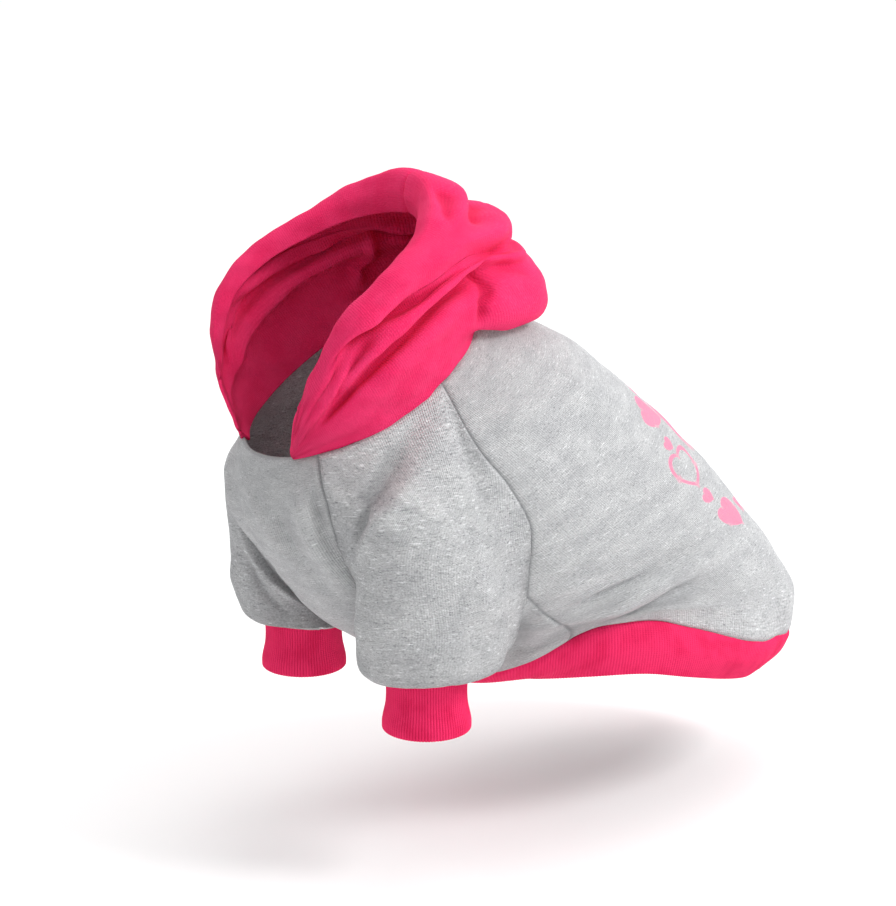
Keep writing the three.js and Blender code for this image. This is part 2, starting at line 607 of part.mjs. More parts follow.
// A grid point drawn back from a seam, towards the inside of its own piece.
function drawnBack(piece, row, step, normal) {
  const here = piece.rows[row][step];
  const moved = here.clone();
  const lastRow = piece.rows.length - 1;
  const lastStep = piece.rows[0].length - 1;
  const inwards = [];
  if (row === 0 && piece.seams.includes('first')) inwards.push([1, 0]);
  if (row === lastRow && piece.seams.includes('last')) inwards.push([-1, 0]);
  if (!piece.closed && step === 0 && piece.seams.includes('left')) inwards.push([0, 1]);
  if (!piece.closed && step === lastStep && piece.seams.includes('right')) inwards.push([0, -1]);
  for (const [rowStep, columnStep] of inwards) {
    const towards = neighbour(piece, row + rowStep, step + columnStep).clone().sub(here);
    const [nextRow, nextStep] = [Math.abs(columnStep), Math.abs(rowStep)];
    const alongSeam = (neighbour(piece, row + nextRow, step + nextStep) ?? here).clone()
      .sub(neighbour(piece, row - nextRow, step - nextStep) ?? here)
      .normalize();
    towards.addScaledVector(normal, -towards.dot(normal));
    towards.addScaledVector(alongSeam, -towards.dot(alongSeam)).normalize();
    moved.addScaledVector(towards, SEAM_GAP / 2);
  }
  return moved;
}

// A closed solid from a piece's grid: its outer face, its inner face and the edges between.
function clothGeometry(piece, shared) {
  const rowCount = piece.rows.length;
  const columnCount = piece.rows[0].length;
  const positions = [];
  for (const face of [1, -1]) {
    piece.rows.forEach((points, row) => points.forEach((point, step) => {
      const normal = shared.get(keyOf(point)).clone().normalize();
      const place = drawnBack(piece, row, step, normal)
        .addScaledVector(normal, face * piece.thickness / 2);
      positions.push(place.x, place.y, place.z);
    }));
  }
  const perFace = rowCount * columnCount;
  const outer = (row, step) => row * columnCount + (step % columnCount);
  const inner = (row, step) => perFace + outer(row, step);
  const triangles = [];
  const quad = (a, b, c, d) => {
    if (piece.flip) triangles.push(a, c, b, a, d, c);
    else triangles.push(a, b, c, a, c, d);
  };
  const spans = piece.closed ? columnCount : columnCount - 1;
  const bottom = rowCount - 1;
  const end = columnCount - 1;
  for (let row = 0; row < bottom; row += 1) {
    const next = row + 1;
    for (let step = 0; step < spans; step += 1) {
      quad(outer(row, step), outer(next, step), outer(next, step + 1), outer(row, step + 1));
      quad(inner(row, step), inner(row, step + 1), inner(next, step + 1), inner(next, step));
    }
    if (!piece.closed) {
      quad(outer(row, 0), inner(row, 0), inner(next, 0), outer(next, 0));
      quad(outer(row, end), outer(next, end), inner(next, end), inner(row, end));
    }
  }
  for (let step = 0; step < spans; step += 1) {
    const next = step + 1;
    quad(outer(0, step), outer(0, next), inner(0, next), inner(0, step));
    quad(outer(bottom, step), inner(bottom, step), inner(bottom, next), outer(bottom, next));
  }
  const geometry = new THREE.BufferGeometry();
  geometry.setAttribute('position', new THREE.Float32BufferAttribute(positions, 3));
  geometry.setIndex(triangles);
  geometry.computeVertexNormals();
  return geometry;
}

function sweatshirt() {
  const group = new THREE.Group();
  group.name = 'dog_sweatshirt';
  const all = pieces();
  const shared = sharedNormals(all);
  const withers = torsoPoint(0, WITHERS_ALONG, LEFT);
  for (const piece of all) {
    const mesh = new THREE.Mesh(clothGeometry(piece, shared), piece.material);
    mesh.name = piece.name;
    mesh.position.copy(withers).negate();
    group.add(mesh);
  }
  return group;
}

export default sweatshirt();
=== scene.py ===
"""A small hooded raglan sweatshirt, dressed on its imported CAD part.

Metres, +Z up, the neck towards -X, the garment's left towards -Y. The sheets of cloth repeat the
part's own slices, sections and profiles on finer grids, and add what the solids leave out: rolled
seams, small creases, ribs, the knit and the print.
"""

import logging
import math
from dataclasses import dataclass, field
from enum import Enum

import bpy
import numpy as np
from mathutils import Matrix, Vector

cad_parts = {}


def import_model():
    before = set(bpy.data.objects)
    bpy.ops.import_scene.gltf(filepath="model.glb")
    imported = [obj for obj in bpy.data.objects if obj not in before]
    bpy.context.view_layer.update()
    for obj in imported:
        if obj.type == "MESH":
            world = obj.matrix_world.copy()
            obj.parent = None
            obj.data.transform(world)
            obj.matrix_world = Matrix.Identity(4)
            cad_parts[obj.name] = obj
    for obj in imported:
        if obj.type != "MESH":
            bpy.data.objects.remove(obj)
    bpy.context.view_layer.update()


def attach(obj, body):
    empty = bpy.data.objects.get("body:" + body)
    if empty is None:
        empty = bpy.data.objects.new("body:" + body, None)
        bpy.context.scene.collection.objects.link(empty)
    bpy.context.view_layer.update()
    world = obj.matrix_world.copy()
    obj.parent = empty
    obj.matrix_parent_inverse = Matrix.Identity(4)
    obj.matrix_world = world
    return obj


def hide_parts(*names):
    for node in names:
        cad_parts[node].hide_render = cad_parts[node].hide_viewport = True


Array = np.ndarray
Table = dict[str, Array]
Colour = tuple[float, float, float, float]

LOG = logging.getLogger("sweatshirt")
CLOTH_MAP = "Cloth"
MILLIMETRE = 0.001
UP = np.array([0.0, 0.0, 1.0])
LEVEL = np.array([1.0, 1.0, 0.0])


class Side(Enum):
    """The garment's two sides, by the sign of their Y."""

    LEFT = -1
    RIGHT = 1


class Edge(Enum):
    """The four sides of a sheet's grid."""

    FIRST = "first"
    LAST = "last"
    START = "start"
    END = "end"


def table(names: str, *rows: tuple[float, ...]) -> Table:
    """Turns the rows of a table into one array for each named column.

    Args:
        names: The columns' names, with spaces between.
        rows: One tuple of values a row.

    Returns:
        The columns by name.
    """
    return dict(zip(names.split(), np.array(rows, float).T))


def smooth(places: Array, values: Array, at: Array) -> Array:
    """Reads values between their places along a smooth curve.

    Each span is a cubic Hermite curve. The slope at a place is the rise between its two neighbours
    over the distance between them, and on one side alone at both ends.

    Args:
        places: Rising places, one for each row of values.
        values: The values, rows first.
        at: The places to read at.

    Returns:
        An array of at's shape followed by the shape of one row of values.
    """
    rows = len(places)
    index = np.arange(rows)
    before = np.maximum(index - 1, 0)
    after = np.minimum(index + 1, rows - 1)
    spread = (slice(None),) + (None,) * (values.ndim - 1)
    slopes = (values[after] - values[before]) / (places[after] - places[before])[spread]
    at = np.clip(np.asarray(at, float), places[0], places[-1])
    span = np.clip(np.searchsorted(places, at, side="left") - 1, 0, rows - 2)
    width = places[span + 1] - places[span]
    share = (at - places[span]) / width
    wide = (...,) + (None,) * (values.ndim - 1)
    share, width = share[wide], width[wide]
    rise = share**2 * (3 - 2 * share)
    return (
        values[span] * (1 - rise)
        + values[span + 1] * rise
        + slopes[span] * width * share * (1 - share) ** 2
        - slopes[span + 1] * width * share**2 * (1 - share)
    )


def read(rows: Table, name: str, at: Array, by: str = "along") -> Array:
    """Reads one column of a table at places between its rows.

    Args:
        rows: The table.
        name: The column to read.
        at: The places to read at.
        by: The column that holds the places.

    Returns:
        The values, in at's shape.
    """
    return smooth(rows[by], rows[name], at)


def unit(vectors: Array) -> Array:
    """Scales the vectors along the last axis to a length of one."""
    return vectors / np.maximum(np.linalg.norm(vectors, axis=-1, keepdims=True), 1e-12)


def joined(*parts: Array | float) -> Array:
    """Joins coordinates that spread over one grid into points along the last axis."""
    return np.stack(np.broadcast_arrays(*parts), -1)


def rib_lift(ribs: int, points_per_rib: int, depth: float, rows: int) -> Array:
    """Gives the lift of ribs that run across the rows of a sheet.

    A rib's height is the square root of the size of a cosine, so that ribs are round and the
    grooves between them are narrow.

    Args:
        ribs: How many ribs a row crosses.
        points_per_rib: How many points each has.
        depth: How deep the grooves are, in metres.
        rows: How many rows the sheet has.

    Returns:
        The lift of each point in metres, from minus the depth to 0.
    """
    share = np.arange(ribs * points_per_rib) / points_per_rib
    ridge = np.sqrt(np.abs(np.cos(np.pi * share)))
    return np.broadcast_to(depth * (ridge - 1), (rows, len(share)))


@dataclass(frozen=True)
class Ripples:
    """Uneven soft waves of the cloth: their length along X, Y and Z, height and random seed."""

    wavelength: tuple[float, float, float]
    height: float
    seed: int
    waves: int = 12
    stretch: tuple[float, float] = (0.7, 1.4)
    peak: float = 1.8

    def lift(self, points: Array) -> Array:
        """Gives how far the ripples lift the cloth.

        The lift is the sum of plane waves in random directions and phases, each about as long as
        the wavelength of its direction, scaled to about the height.

        Args:
            points: Points along the last axis, in metres.

        Returns:
            The lift of each point in metres.
        """
        random = np.random.default_rng(self.seed)
        directions = unit(random.normal(size=(self.waves, 3)))
        directions = directions * random.uniform(*self.stretch, (self.waves, 1))
        phases = random.uniform(0, 2 * np.pi, self.waves)
        turned = (points / np.array(self.wavelength)) @ directions.T * 2 * np.pi + phases
        return np.sin(turned).sum(-1) * math.sqrt(2 / self.waves) / self.peak * self.height


@dataclass(frozen=True)
class Folds:
    """Straight folds of the cloth between two places on it, given as in the part.

    Each row has the first coordinate and the place along of both ends, the depth as a share of
    depth and the width as a share of width.
    """

    rows: Table
    depth: float = 0.005
    width: float = 0.009

    def lift(self, first: Array, along: Array, first_size: float, along_size: float) -> Array:
        """Gives how far the folds lift the cloth.

        A fold's height is a bell curve of the distance from the line between its two ends, all on
        the flat cloth: its depth times e to the power of minus the square of distance over width.

        Args:
            first: The angle of each point, in degrees.
            along: The place along of each point.
            first_size: The radius that turns the angle into a length on the cloth.
            along_size: The length that a place along of one stands for.

        Returns:
            The lift of each point, in metres.
        """
        at = joined(np.radians(first) * first_size, along * along_size)
        total = np.zeros(at.shape[:-1])
        scale = np.array([math.radians(1) * first_size, along_size])
        starts = np.stack([self.rows["from_first"], self.rows["from_along"]], -1) * scale
        stops = np.stack([self.rows["to_first"], self.rows["to_along"]], -1) * scale
        for start, stop, depth, width in zip(starts, stops, self.rows["depth"], self.rows["width"]):
            line = stop - start
            share = np.clip((at - start) @ line / (line @ line), 0, 1)
            distance = np.linalg.norm(at - start - share[..., None] * line, axis=-1)
            total += depth * self.depth * np.exp(-((distance / (width * self.width)) ** 2))
        return total


@dataclass(frozen=True)
class Crease:
    """A crease on the flat cloth: its path, its height, below 0 for a valley, and its width.

    All three are in millimetres.
    """

    height: float
    width: float
    path: tuple[tuple[float, float], ...]
    end_share: float = 0.15
    fades: float = 4.0

    def lift(self, flat: Array) -> Array:
        """Gives how far the crease lifts the cloth.

        It is a bell curve of the distance from the path: the height times e to the power of minus
        the square of distance over width. Over the first and the last quarter it fades to the end
        share.

        Args:
            flat: Places on the flat cloth in metres.

        Returns:
            The lift of each place in metres.
        """
        path = np.array(self.path) * MILLIMETRE
        steps = np.linalg.norm(np.diff(path, axis=0), axis=-1)
        run = np.append(0, np.cumsum(steps))
        nearest = np.full(flat.shape[:-1], np.inf)
        place = np.zeros(flat.shape[:-1])
        for start, stop, before, step in zip(path[:-1], path[1:], run[:-1], steps):
            line = stop - start
            share = np.clip((flat - start) @ line / (line @ line), 0, 1)
            distance = np.linalg.norm(flat - start - share[..., None] * line, axis=-1)
            place = np.where(distance < nearest, before + share * step, place)
            nearest = np.minimum(distance, nearest)
        fade = np.minimum(1, np.minimum(place, run[-1] - place) * self.fades / run[-1])
        height = self.height * MILLIMETRE * (self.end_share + (1 - self.end_share) * fade)
        return height * np.exp(-((nearest / (self.width * MILLIMETRE)) ** 2))


@dataclass(frozen=True)
class Sheet:
    """A sheet of cloth as a grid of points on its middle surface.

    rows times steps points, with a place on the flat cloth for each in metres. closed says that
    the steps run round a tube. outward is 1 where rows times steps already points outwards, and
    -1 where it points inwards. free holds the edges that end in a rounded fold, and the others
    are sewn.
    """

    name: str
    points: Array
    flat: Array
    closed: bool
    outward: int
    thickness: float
    free: frozenset[Edge] = frozenset()

    def normals(self) -> Array:
        """Works out one outward unit normal for each point from its neighbours.

        The normal is the cross product of the steps down the rows and across the steps.

        Returns:
            An array like points.
        """
        down = np.gradient(self.points, axis=0)
        if self.closed:
            across = np.roll(self.points, -1, axis=1) - np.roll(self.points, 1, axis=1)
        else:
            across = np.gradient(self.points, axis=1)
        return unit(np.cross(unit(down), unit(across))) * self.outward

    def sewn_edges(self) -> list[Edge]:
        """Lists the edges that are sewn to another piece."""
        absent = {Edge.START, Edge.END} if self.closed else set()
        return [edge for edge in Edge if edge not in self.free | absent]

    def edge_distance(self, edge: Edge) -> Array:
        """Measures how far each point lies from one edge, along its own row or column.

        Args:
            edge: The edge to measure from.

        Returns:
            The distance of each point, in metres.
        """
        axis = 0 if edge in (Edge.FIRST, Edge.LAST) else 1
        lengths = np.linalg.norm(np.diff(self.points, axis=axis), axis=-1)
        start = [(1, 0), (0, 0)] if axis == 0 else [(0, 0), (1, 0)]
        run = np.pad(np.cumsum(lengths, axis=axis), start)
        if edge in (Edge.FIRST, Edge.START):
            return run
        return np.take(run, [-1], axis=axis) - run


def share_normals(sheets: list[Sheet]) -> list[Array]:
    """Gives sheets that are sewn together one normal for each place where they meet.

    The normals of all points that lie at the same place, to a hundredth of a millimetre, are added
    up and scaled to a length of one.

    Args:
        sheets: The sheets that meet.

    Returns:
        The normals of each sheet, as arrays like its points.
    """
    points = np.concatenate([sheet.points.reshape(-1, 3) for sheet in sheets])
    own = np.concatenate([sheet.normals().reshape(-1, 3) for sheet in sheets])
    _, place = np.unique(np.round(points * 1e5).astype(np.int64), axis=0, return_inverse=True)
    place = place.reshape(-1)
    total = np.zeros((place.max() + 1, 3))
    np.add.at(total, place, own)
    shared = unit(total[place])
    stops = np.cumsum([sheet.points.shape[0] * sheet.points.shape[1] for sheet in sheets])[:-1]
    return [
        part.reshape(sheet.points.shape)
        for part, sheet in zip(np.split(shared, stops), sheets)
    ]


def put_mesh(name: str, points: Array, faces: list[list[int]],
             flat: Array | None = None) -> bpy.types.Object:
    """Makes an object from points and faces, with smooth shading and a flat map of the cloth.

    Args:
        name: The piece's name.
        points: One point a row, in metres.
        faces: The faces, as rows of point numbers.
        flat: The place of each point on the flat cloth, in metres, or None.

    Returns:
        The new object, linked to the scene.
    """
    mesh = bpy.data.meshes.new(name)
    mesh.from_pydata(points, [], faces)
    mesh.shade_smooth()
    if flat is not None:
        corners = np.empty(len(mesh.loops), np.int32)
        mesh.loops.foreach_get("vertex_index", corners)
        layer = mesh.uv_layers.new(name=CLOTH_MAP)
        layer.uv.foreach_set("vector", flat[corners].astype(np.float32).ravel())
    mesh.update()
    piece = bpy.data.objects.new(name, mesh)
    bpy.context.scene.collection.objects.link(piece)
    return piece


def add_value(piece: bpy.types.Object, name: str, values: Array) -> None:
    """Stores one number for each point of a piece, for its material to read.

    Args:
        piece: The piece.
        name: The attribute's name.
        values: The numbers, in the order of the points.
    """
    attribute = piece.data.attributes.new(name, "FLOAT", "POINT")
    attribute.data.foreach_set("value", values.astype(np.float32).ravel())


def both_sides(*creases: Crease) -> tuple[Crease, ...]:
    """Repeats creases of a panel on its other half."""
    mirrored = (Crease(c.height, c.width, tuple((-x, y) for x, y in c.path)) for c in creases)
    return (*creases, *mirrored)


FLEECE_CREASES = {
    "back_panel": both_sides(
        Crease(-3.0, 3.8, ((-155, 225), (-145, 227), (-135, 229), (-122, 233))),
        Crease(-3.4, 4.2, ((-161, 285), (-141, 268), (-127, 263), (-108, 258))),
        Crease(2.3, 6.5, ((-160, 259), (-141, 245), (-119, 241))),
        Crease(1.3, 9.0, ((-146, 171), (-135, 182), (-106, 193))),
        Crease(1.0, 6.0, ((-142, 151), (-148, 188), (-151, 229))),
        Crease(1.3, 5.0, ((-148, 288), (-126, 286), (-98, 290))),
        Crease(-0.8, 6.0, ((-110, 292), (-89, 288), (-60, 285))),
    ),
    "chest_panel": (
        Crease(1.9, 6.0, ((-15, 17), (10, 61), (15, 99), (21, 135), (30, 159))),
        Crease(0.9, 3.5, ((-4, 20), (6, 54), (9, 83))),
        Crease(-1.3, 4.0, ((2, 22), (20, 60), (25, 96), (32, 130))),
        *both_sides(
            Crease(-4.6, 3.6, ((50, 36), (49, 84), (51, 122))),
            Crease(2.4, 4.6, ((41, 36), (39, 84), (41, 126))),
            Crease(-5.0, 7.0, ((95, 203), (83, 222), (62, 269), (53, 295))),
        ),
    ),
    "left_sleeve": (
        Crease(1.8, 3.6, ((84, 15), (98, 23), (112, 32), (127, 39), (142, 42), (160, 43))),
        Crease(2.0, 13.0, ((84, 24), (98, 32), (112, 40), (132, 48))),
        Crease(-5.6, 4.6, ((80, 3), (93, 10), (104, 16), (117, 24), (133, 31), (164, 34))),
        Crease(-1.8, 9.0, ((84, -6), (108, 6), (130, 19), (164, 26))),
        Crease(1.0, 6.0, ((152, 80), (135, 84), (120, 87), (95, 88))),
        Crease(3.2, 11.0, ((70, 0), (72, 12), (68, 24), (60, 36))),
    ),
    "right_sleeve": (
        Crease(-3.8, 4.0, ((165, 46), (178, 54), (186, 56), (207, 59), (220, 60))),
        Crease(2.4, 4.5, ((165, 54), (180, 62), (190, 64), (210, 67))),
        Crease(-2.6, 4.0, ((168, 64), (181, 72), (197, 83))),
        Crease(1.0, 6.0, ((152, 80), (135, 84), (120, 87), (95, 88))),
    ),
}
HOOD_CREASES = (
    Crease(-5.0, 2.5, ((52, 63), (65, 61), (76, 62), (94, 63), (111, 66), (126, 69), (136, 71),
                       (150, 80))),
    Crease(3.2, 3.8, ((52, 70), (74, 70), (94, 71), (111, 74), (126, 77), (142, 83))),
    Crease(-4.8, 2.5, ((52, 51), (73, 50), (90, 50), (104, 49), (120, 48), (136, 47), (153, 47),
                       (172, 48))),
    Crease(2.4, 3.2, ((58, 56), (90, 57), (111, 57), (132, 57), (152, 56))),
    Crease(-3.0, 2.8, ((122, 66), (140, 62), (152, 58), (162, 50))),
    Crease(-1.8, 2.4, ((146, 48), (160, 46), (174, 45))),
    Crease(-4.4, 2.2, ((53, 60), (57, 47), (68, 40), (74, 27))),
    Crease(-2.4, 3.4, ((47, 65), (37, 71), (22, 75))),
    Crease(-1.8, 4.0, ((48, 57), (40, 50), (32, 44))),
    Crease(-2.8, 2.8, ((24, 101), (43, 99), (58, 96))),
    Crease(-3.4, 2.6, ((2, 83), (26, 87), (44, 85))),
    Crease(-1.1, 5.0, ((102, 26), (87, 32), (76, 42))),
    Crease(1.5, 6.0, ((92, 40), (116, 38), (140, 38))),
)


@dataclass(frozen=True)
class Tailor:
    """How sheets become cloth: the gap, lap and roll at a seam and the fold at a free edge."""

    seam_gap: float = 0.00012
    seam_lap: float = 0.0006
    seam_roll: float = 0.0015
    seam_sink: float = 0.62
    fold_steps: int = 6

    def solid(self, sheet: Sheet, normals: Array, lift: Array) -> bpy.types.Object:
        """Thickens a sheet into one closed piece of cloth.

        The outer face is the middle surface moved out along the normals by half the thickness and
        the lift, and the inner face by the lift less half the thickness. Towards a seam the outer
        face sinks along a bell curve of the distance from it, so that two pieces roll into it, and
        the inner face laps under the next piece. At a free edge the faces are joined by a half
        circle, and at a seam by a straight wall.

        Args:
            sheet: The sheet.
            normals: Its normals.
            lift: How far each point of the cloth stands out further, in metres.

        Returns:
            The finished piece.
        """
        half = sheet.thickness / 2
        sunk = np.zeros(sheet.points.shape[:2])
        for edge in sheet.sewn_edges():
            fall = np.exp(-((sheet.edge_distance(edge) / self.seam_roll) ** 2))
            sunk = np.maximum(sunk, fall)
        outer = self._moved_edges(sheet, normals, self.seam_gap)
        outer = outer + normals * (half * (1 - 2 * self.seam_sink * sunk) + lift)[..., None]
        inner = self._moved_edges(sheet, normals, -self.seam_lap)
        inner = inner + normals * (lift - half)[..., None]
        first = self._edge_arc(sheet, outer, inner, Edge.FIRST)
        last = self._edge_arc(sheet, outer, inner, Edge.LAST)
        loop = np.concatenate([outer, last, inner[::-1], first])
        flat, raised, seam = (
            np.concatenate([
                upper,
                np.repeat(upper[-1:], len(last), axis=0),
                under,
                np.repeat(upper[:1], len(first), axis=0),
            ])
            for upper, under in (
                (sheet.flat, sheet.flat[::-1]), (lift, np.zeros_like(lift)), (sunk, sunk[::-1])
            )
        )
        faces = self._faces(loop.shape[0], loop.shape[1], sheet, len(last))
        piece = put_mesh(sheet.name, loop.reshape(-1, 3), faces, flat.reshape(-1, 2))
        add_value(piece, "lift", raised)
        add_value(piece, "seam", seam)
        return piece

    def _moved_edges(self, sheet: Sheet, normals: Array, back: float) -> Array:
        """Moves the points of sewn edges along the cloth, square to the edge.

        Args:
            sheet: The sheet.
            normals: Its normals.
            back: How far they move towards the inside of the sheet, in metres.

        Returns:
            The moved points.
        """
        moved = sheet.points.copy()
        edges = {
            Edge.FIRST: (np.s_[0], np.s_[1]),
            Edge.LAST: (np.s_[-1], np.s_[-2]),
            Edge.START: (np.s_[:, 0], np.s_[:, 1]),
            Edge.END: (np.s_[:, -1], np.s_[:, -2]),
        }
        for edge in sheet.sewn_edges():
            rim, next_to = edges[edge]
            along = unit(np.gradient(sheet.points[rim], axis=0))
            towards = sheet.points[next_to] - sheet.points[rim]
            normal = normals[rim]
            towards = towards - (towards * normal).sum(-1, keepdims=True) * normal
            towards = towards - (towards * along).sum(-1, keepdims=True) * along
            moved[rim] += unit(towards) * back
        return moved

    def _edge_arc(self, sheet: Sheet, outer: Array, inner: Array, edge: Edge) -> Array:
        """Makes the rows between the two faces at the first or the last edge.

        The rows are points of a half circle about the middle of the edge, which bulges away from
        the sheet. At a seam there are none.

        Args:
            sheet: The sheet.
            outer: The outer face.
            inner: The inner face.
            edge: The first or the last edge.

        Returns:
            The rows, in the order in which the loop of rows passes them.
        """
        if edge not in sheet.free:
            return outer[:0]
        last = edge is Edge.LAST
        start, stop = (outer[-1], inner[-1]) if last else (inner[0], outer[0])
        before = (outer[-2] + inner[-2]) / 2 if last else (outer[1] + inner[1]) / 2
        centre = (start + stop) / 2
        radius = (start - stop) / 2
        bulge = unit(centre - before) * np.linalg.norm(radius, axis=-1, keepdims=True)
        turn = np.linspace(0, np.pi, self.fold_steps + 1)[1:-1, None, None]
        return centre + radius * np.cos(turn) + bulge * np.sin(turn)

    def _faces(self, rows: int, steps: int, sheet: Sheet, arc: int) -> list[list[int]]:
        """Lists the faces of the closed loop of rows, and of the two ends of an open sheet.

        Args:
            rows: How many rows the loop has.
            steps: How many points a row has.
            sheet: The sheet, for its form and the way that it faces.
            arc: How many rows the last edge's half circle has.

        Returns:
            The faces as lists of point numbers.
        """
        number = np.arange(rows * steps).reshape(rows, steps)
        below = np.roll(number, -1, axis=0)
        if sheet.closed:
            here, after = number, np.roll(number, -1, axis=1)
            under, under_after = below, np.roll(below, -1, axis=1)
        else:
            here, after = number[:, :-1], number[:, 1:]
            under, under_after = below[:, :-1], below[:, 1:]
        quads = np.stack([here, under, under_after, after], -1).reshape(-1, 4)
        if sheet.outward < 0:
            quads = quads[:, ::-1]
        faces = quads.tolist()
        if sheet.closed:
            return faces
        face_rows = sheet.points.shape[0]
        top = np.arange(face_rows)
        under_side = 2 * face_rows + arc - 1 - top
        for step in (0, steps - 1):
            corners = [top[:-1], under_side[:-1], under_side[1:], top[1:]]
            strip = np.stack(corners, -1) * steps + step
            forward = (step == 0) == (sheet.outward > 0)
            faces += (strip if forward else strip[:, ::-1]).tolist()
            for ring in (
                np.arange(face_rows - 1, face_rows + arc + 1),
                np.r_[np.arange(2 * face_rows + arc - 1, rows), 0],
            ):
                if len(ring) > 2:
                    cap = ring * steps + step
                    faces.append((cap if not forward else cap[::-1]).tolist())
        return faces


@dataclass(frozen=True)
class Body:
    """The body's shape from the neckline to the hem seam, with the band below it.

    The tables' X, Z and rise are shares of back_length and the width is a share of chest_width.
    hem_line gives how far the hem seam rises at angles from the mid-back, and band how far the
    band's middle and rim lie inwards from it and below it, as shares of band_height.
    """

    back_length: float = 0.300
    chest_width: float = 0.166
    band_height: float = 0.029
    withers_along: float = 0.06
    slices: Table = field(default_factory=lambda: table(
        "along front_x front_z back_x back_z width rise",
        (0.00, -0.541, 0.076, -0.120, 0.333, 0.711, -0.023),
        (0.15, -0.557, 0.003, -0.014, 0.267, 0.850, -0.010),
        (0.30, -0.537, -0.077, 0.107, 0.198, 0.952, 0.000),
        (0.45, -0.481, -0.163, 0.220, 0.110, 0.996, 0.000),
        (0.60, -0.407, -0.247, 0.333, 0.013, 1.007, 0.006),
        (0.75, -0.317, -0.310, 0.447, -0.103, 0.996, 0.020),
        (0.88, -0.237, -0.340, 0.555, -0.232, 0.980, 0.050),
        (0.96, -0.200, -0.345, 0.628, -0.350, 0.958, 0.080),
        (1.00, -0.187, -0.337, 0.637, -0.460, 0.937, 0.092),
    ))
    hem_line: Table = field(default_factory=lambda: table(
        "around rise",
        (0, 0.010), (30, 0.004), (45, -0.011), (60, -0.032), (75, -0.030), (90, -0.010),
        (105, 0.013), (120, 0.010), (135, -0.027), (150, -0.045), (180, -0.040),
    ))
    hem_line_start: float = 0.80
    band: Table = field(default_factory=lambda: table(
        "around half_in half_down end_in end_down",
        (0, 0.15, 0.43, 0.50, 0.75), (30, 0.20, 0.43, 0.55, 0.76), (45, 0.20, 0.43, 0.52, 0.77),
        (60, 0.12, 0.45, 0.43, 0.80), (75, 0.05, 0.48, 0.30, 0.88), (90, -0.06, 0.50, 0.10, 0.98),
        (105, -0.08, 0.52, 0.02, 1.03), (120, -0.02, 0.50, 0.15, 0.95),
        (135, 0.20, 0.38, 0.62, 0.62), (150, 0.35, 0.28, 0.85, 0.35),
        (180, 0.35, 0.28, 0.85, 0.35),
    ))
    folds: Folds = field(default_factory=lambda: Folds(table(
        "from_first from_along to_first to_along depth width",
        (112, 0.76, 74, 0.77, -0.45, 1.05),
        (106, 0.92, 82, 0.88, -0.35, 1.00),
        (110, 0.85, 74, 0.82, 0.30, 1.00),
        (106, 0.68, 80, 0.69, 0.20, 1.10),
        (121, 0.86, 134, 0.92, -0.60, 1.00),
        (152, 0.12, 154, 0.44, 0.60, 0.80),
        (163, 0.16, 165, 0.42, -0.45, 0.90),
        (44, 0.97, 10, 0.95, 0.40, 0.80),
    )))

    def slice_at(self, along: Array) -> Table:
        """Reads the slice at places along the body, in metres.

        Args:
            along: Places from the neckline, 0, to the hem seam, 1.

        Returns:
            The slice's front, back, half width and rise.
        """
        names = ("front_x", "front_z", "back_x", "back_z", "rise")
        found = {name: read(self.slices, name, along) * self.back_length for name in names}
        found["width"] = read(self.slices, "width", along) * self.chest_width / 2
        return found

    def on_slice(self, found: Table, around: Array) -> Array:
        """Places points on slices at angles from the mid-back.

        A slice is an ellipse between its front and back points, as wide as the body, whose sides
        are raised by the rise times the square of the angle's sine.

        Args:
            found: The slices.
            around: The angles in degrees, below 0 on the garment's left.

        Returns:
            The points.
        """
        angle = np.radians(around)
        reach, spread = np.cos(angle), np.sin(angle)
        middle_x = (found["front_x"] + found["back_x"]) / 2
        middle_z = (found["front_z"] + found["back_z"]) / 2
        return joined(
            middle_x + (found["back_x"] - middle_x) * reach,
            found["width"] * spread,
            middle_z + (found["back_z"] - middle_z) * reach + found["rise"] * spread**2,
        )

    def outwards(self, found: Table, around: Array) -> Array:
        """Gives the direction in which slices face at angles from the mid-back.

        It is the slice's long direction times the cosine over half its length, plus the direction
        to the side times the sine over half its width, scaled to one.

        Args:
            found: The slices.
            around: The angles in degrees.

        Returns:
            Unit vectors.
        """
        angle = np.radians(around)
        reach = joined(found["back_x"] - found["front_x"], 0.0, found["back_z"] - found["front_z"])
        length = np.linalg.norm(reach, axis=-1, keepdims=True)
        to_side = np.array([0.0, 1.0, 0.0]) * (np.sin(angle) / found["width"])[..., None]
        return unit(reach / length * np.cos(angle)[..., None] * 2 / length + to_side)

    def lift(self, around: Array, along: Array) -> Array:
        """Gives how far the main folds lift the body's cloth at angles and places along it."""
        return self.folds.lift(np.abs(around), along, self.chest_width / 2, self.back_length)

    def hem_rise(self, around: Array, along: Array) -> Array:
        """Gives how far the cloth rises towards the hem seam's own line, along a parabola."""
        near = np.maximum((along - self.hem_line_start) / (1 - self.hem_line_start), 0)
        return read(self.hem_line, "rise", np.abs(around), "around") * self.back_length * near**2

    def point(self, around: Array, along: Array) -> Array:
        """Gives points of the body's cloth with its main folds.

        Args:
            around: Angles from the mid-back in degrees, below 0 on the left.
            along: Places from the neckline to the hem seam.

        Returns:
            The points, counted from the origin at the withers.
        """
        around, along = np.broadcast_arrays(around, along)
        found = self.slice_at(along)
        folded = self.outwards(found, around) * self.lift(around, along)[..., None]
        raised = self.hem_rise(around, along)[..., None] * UP
        return self.on_slice(found, around) + folded + raised - self.withers()

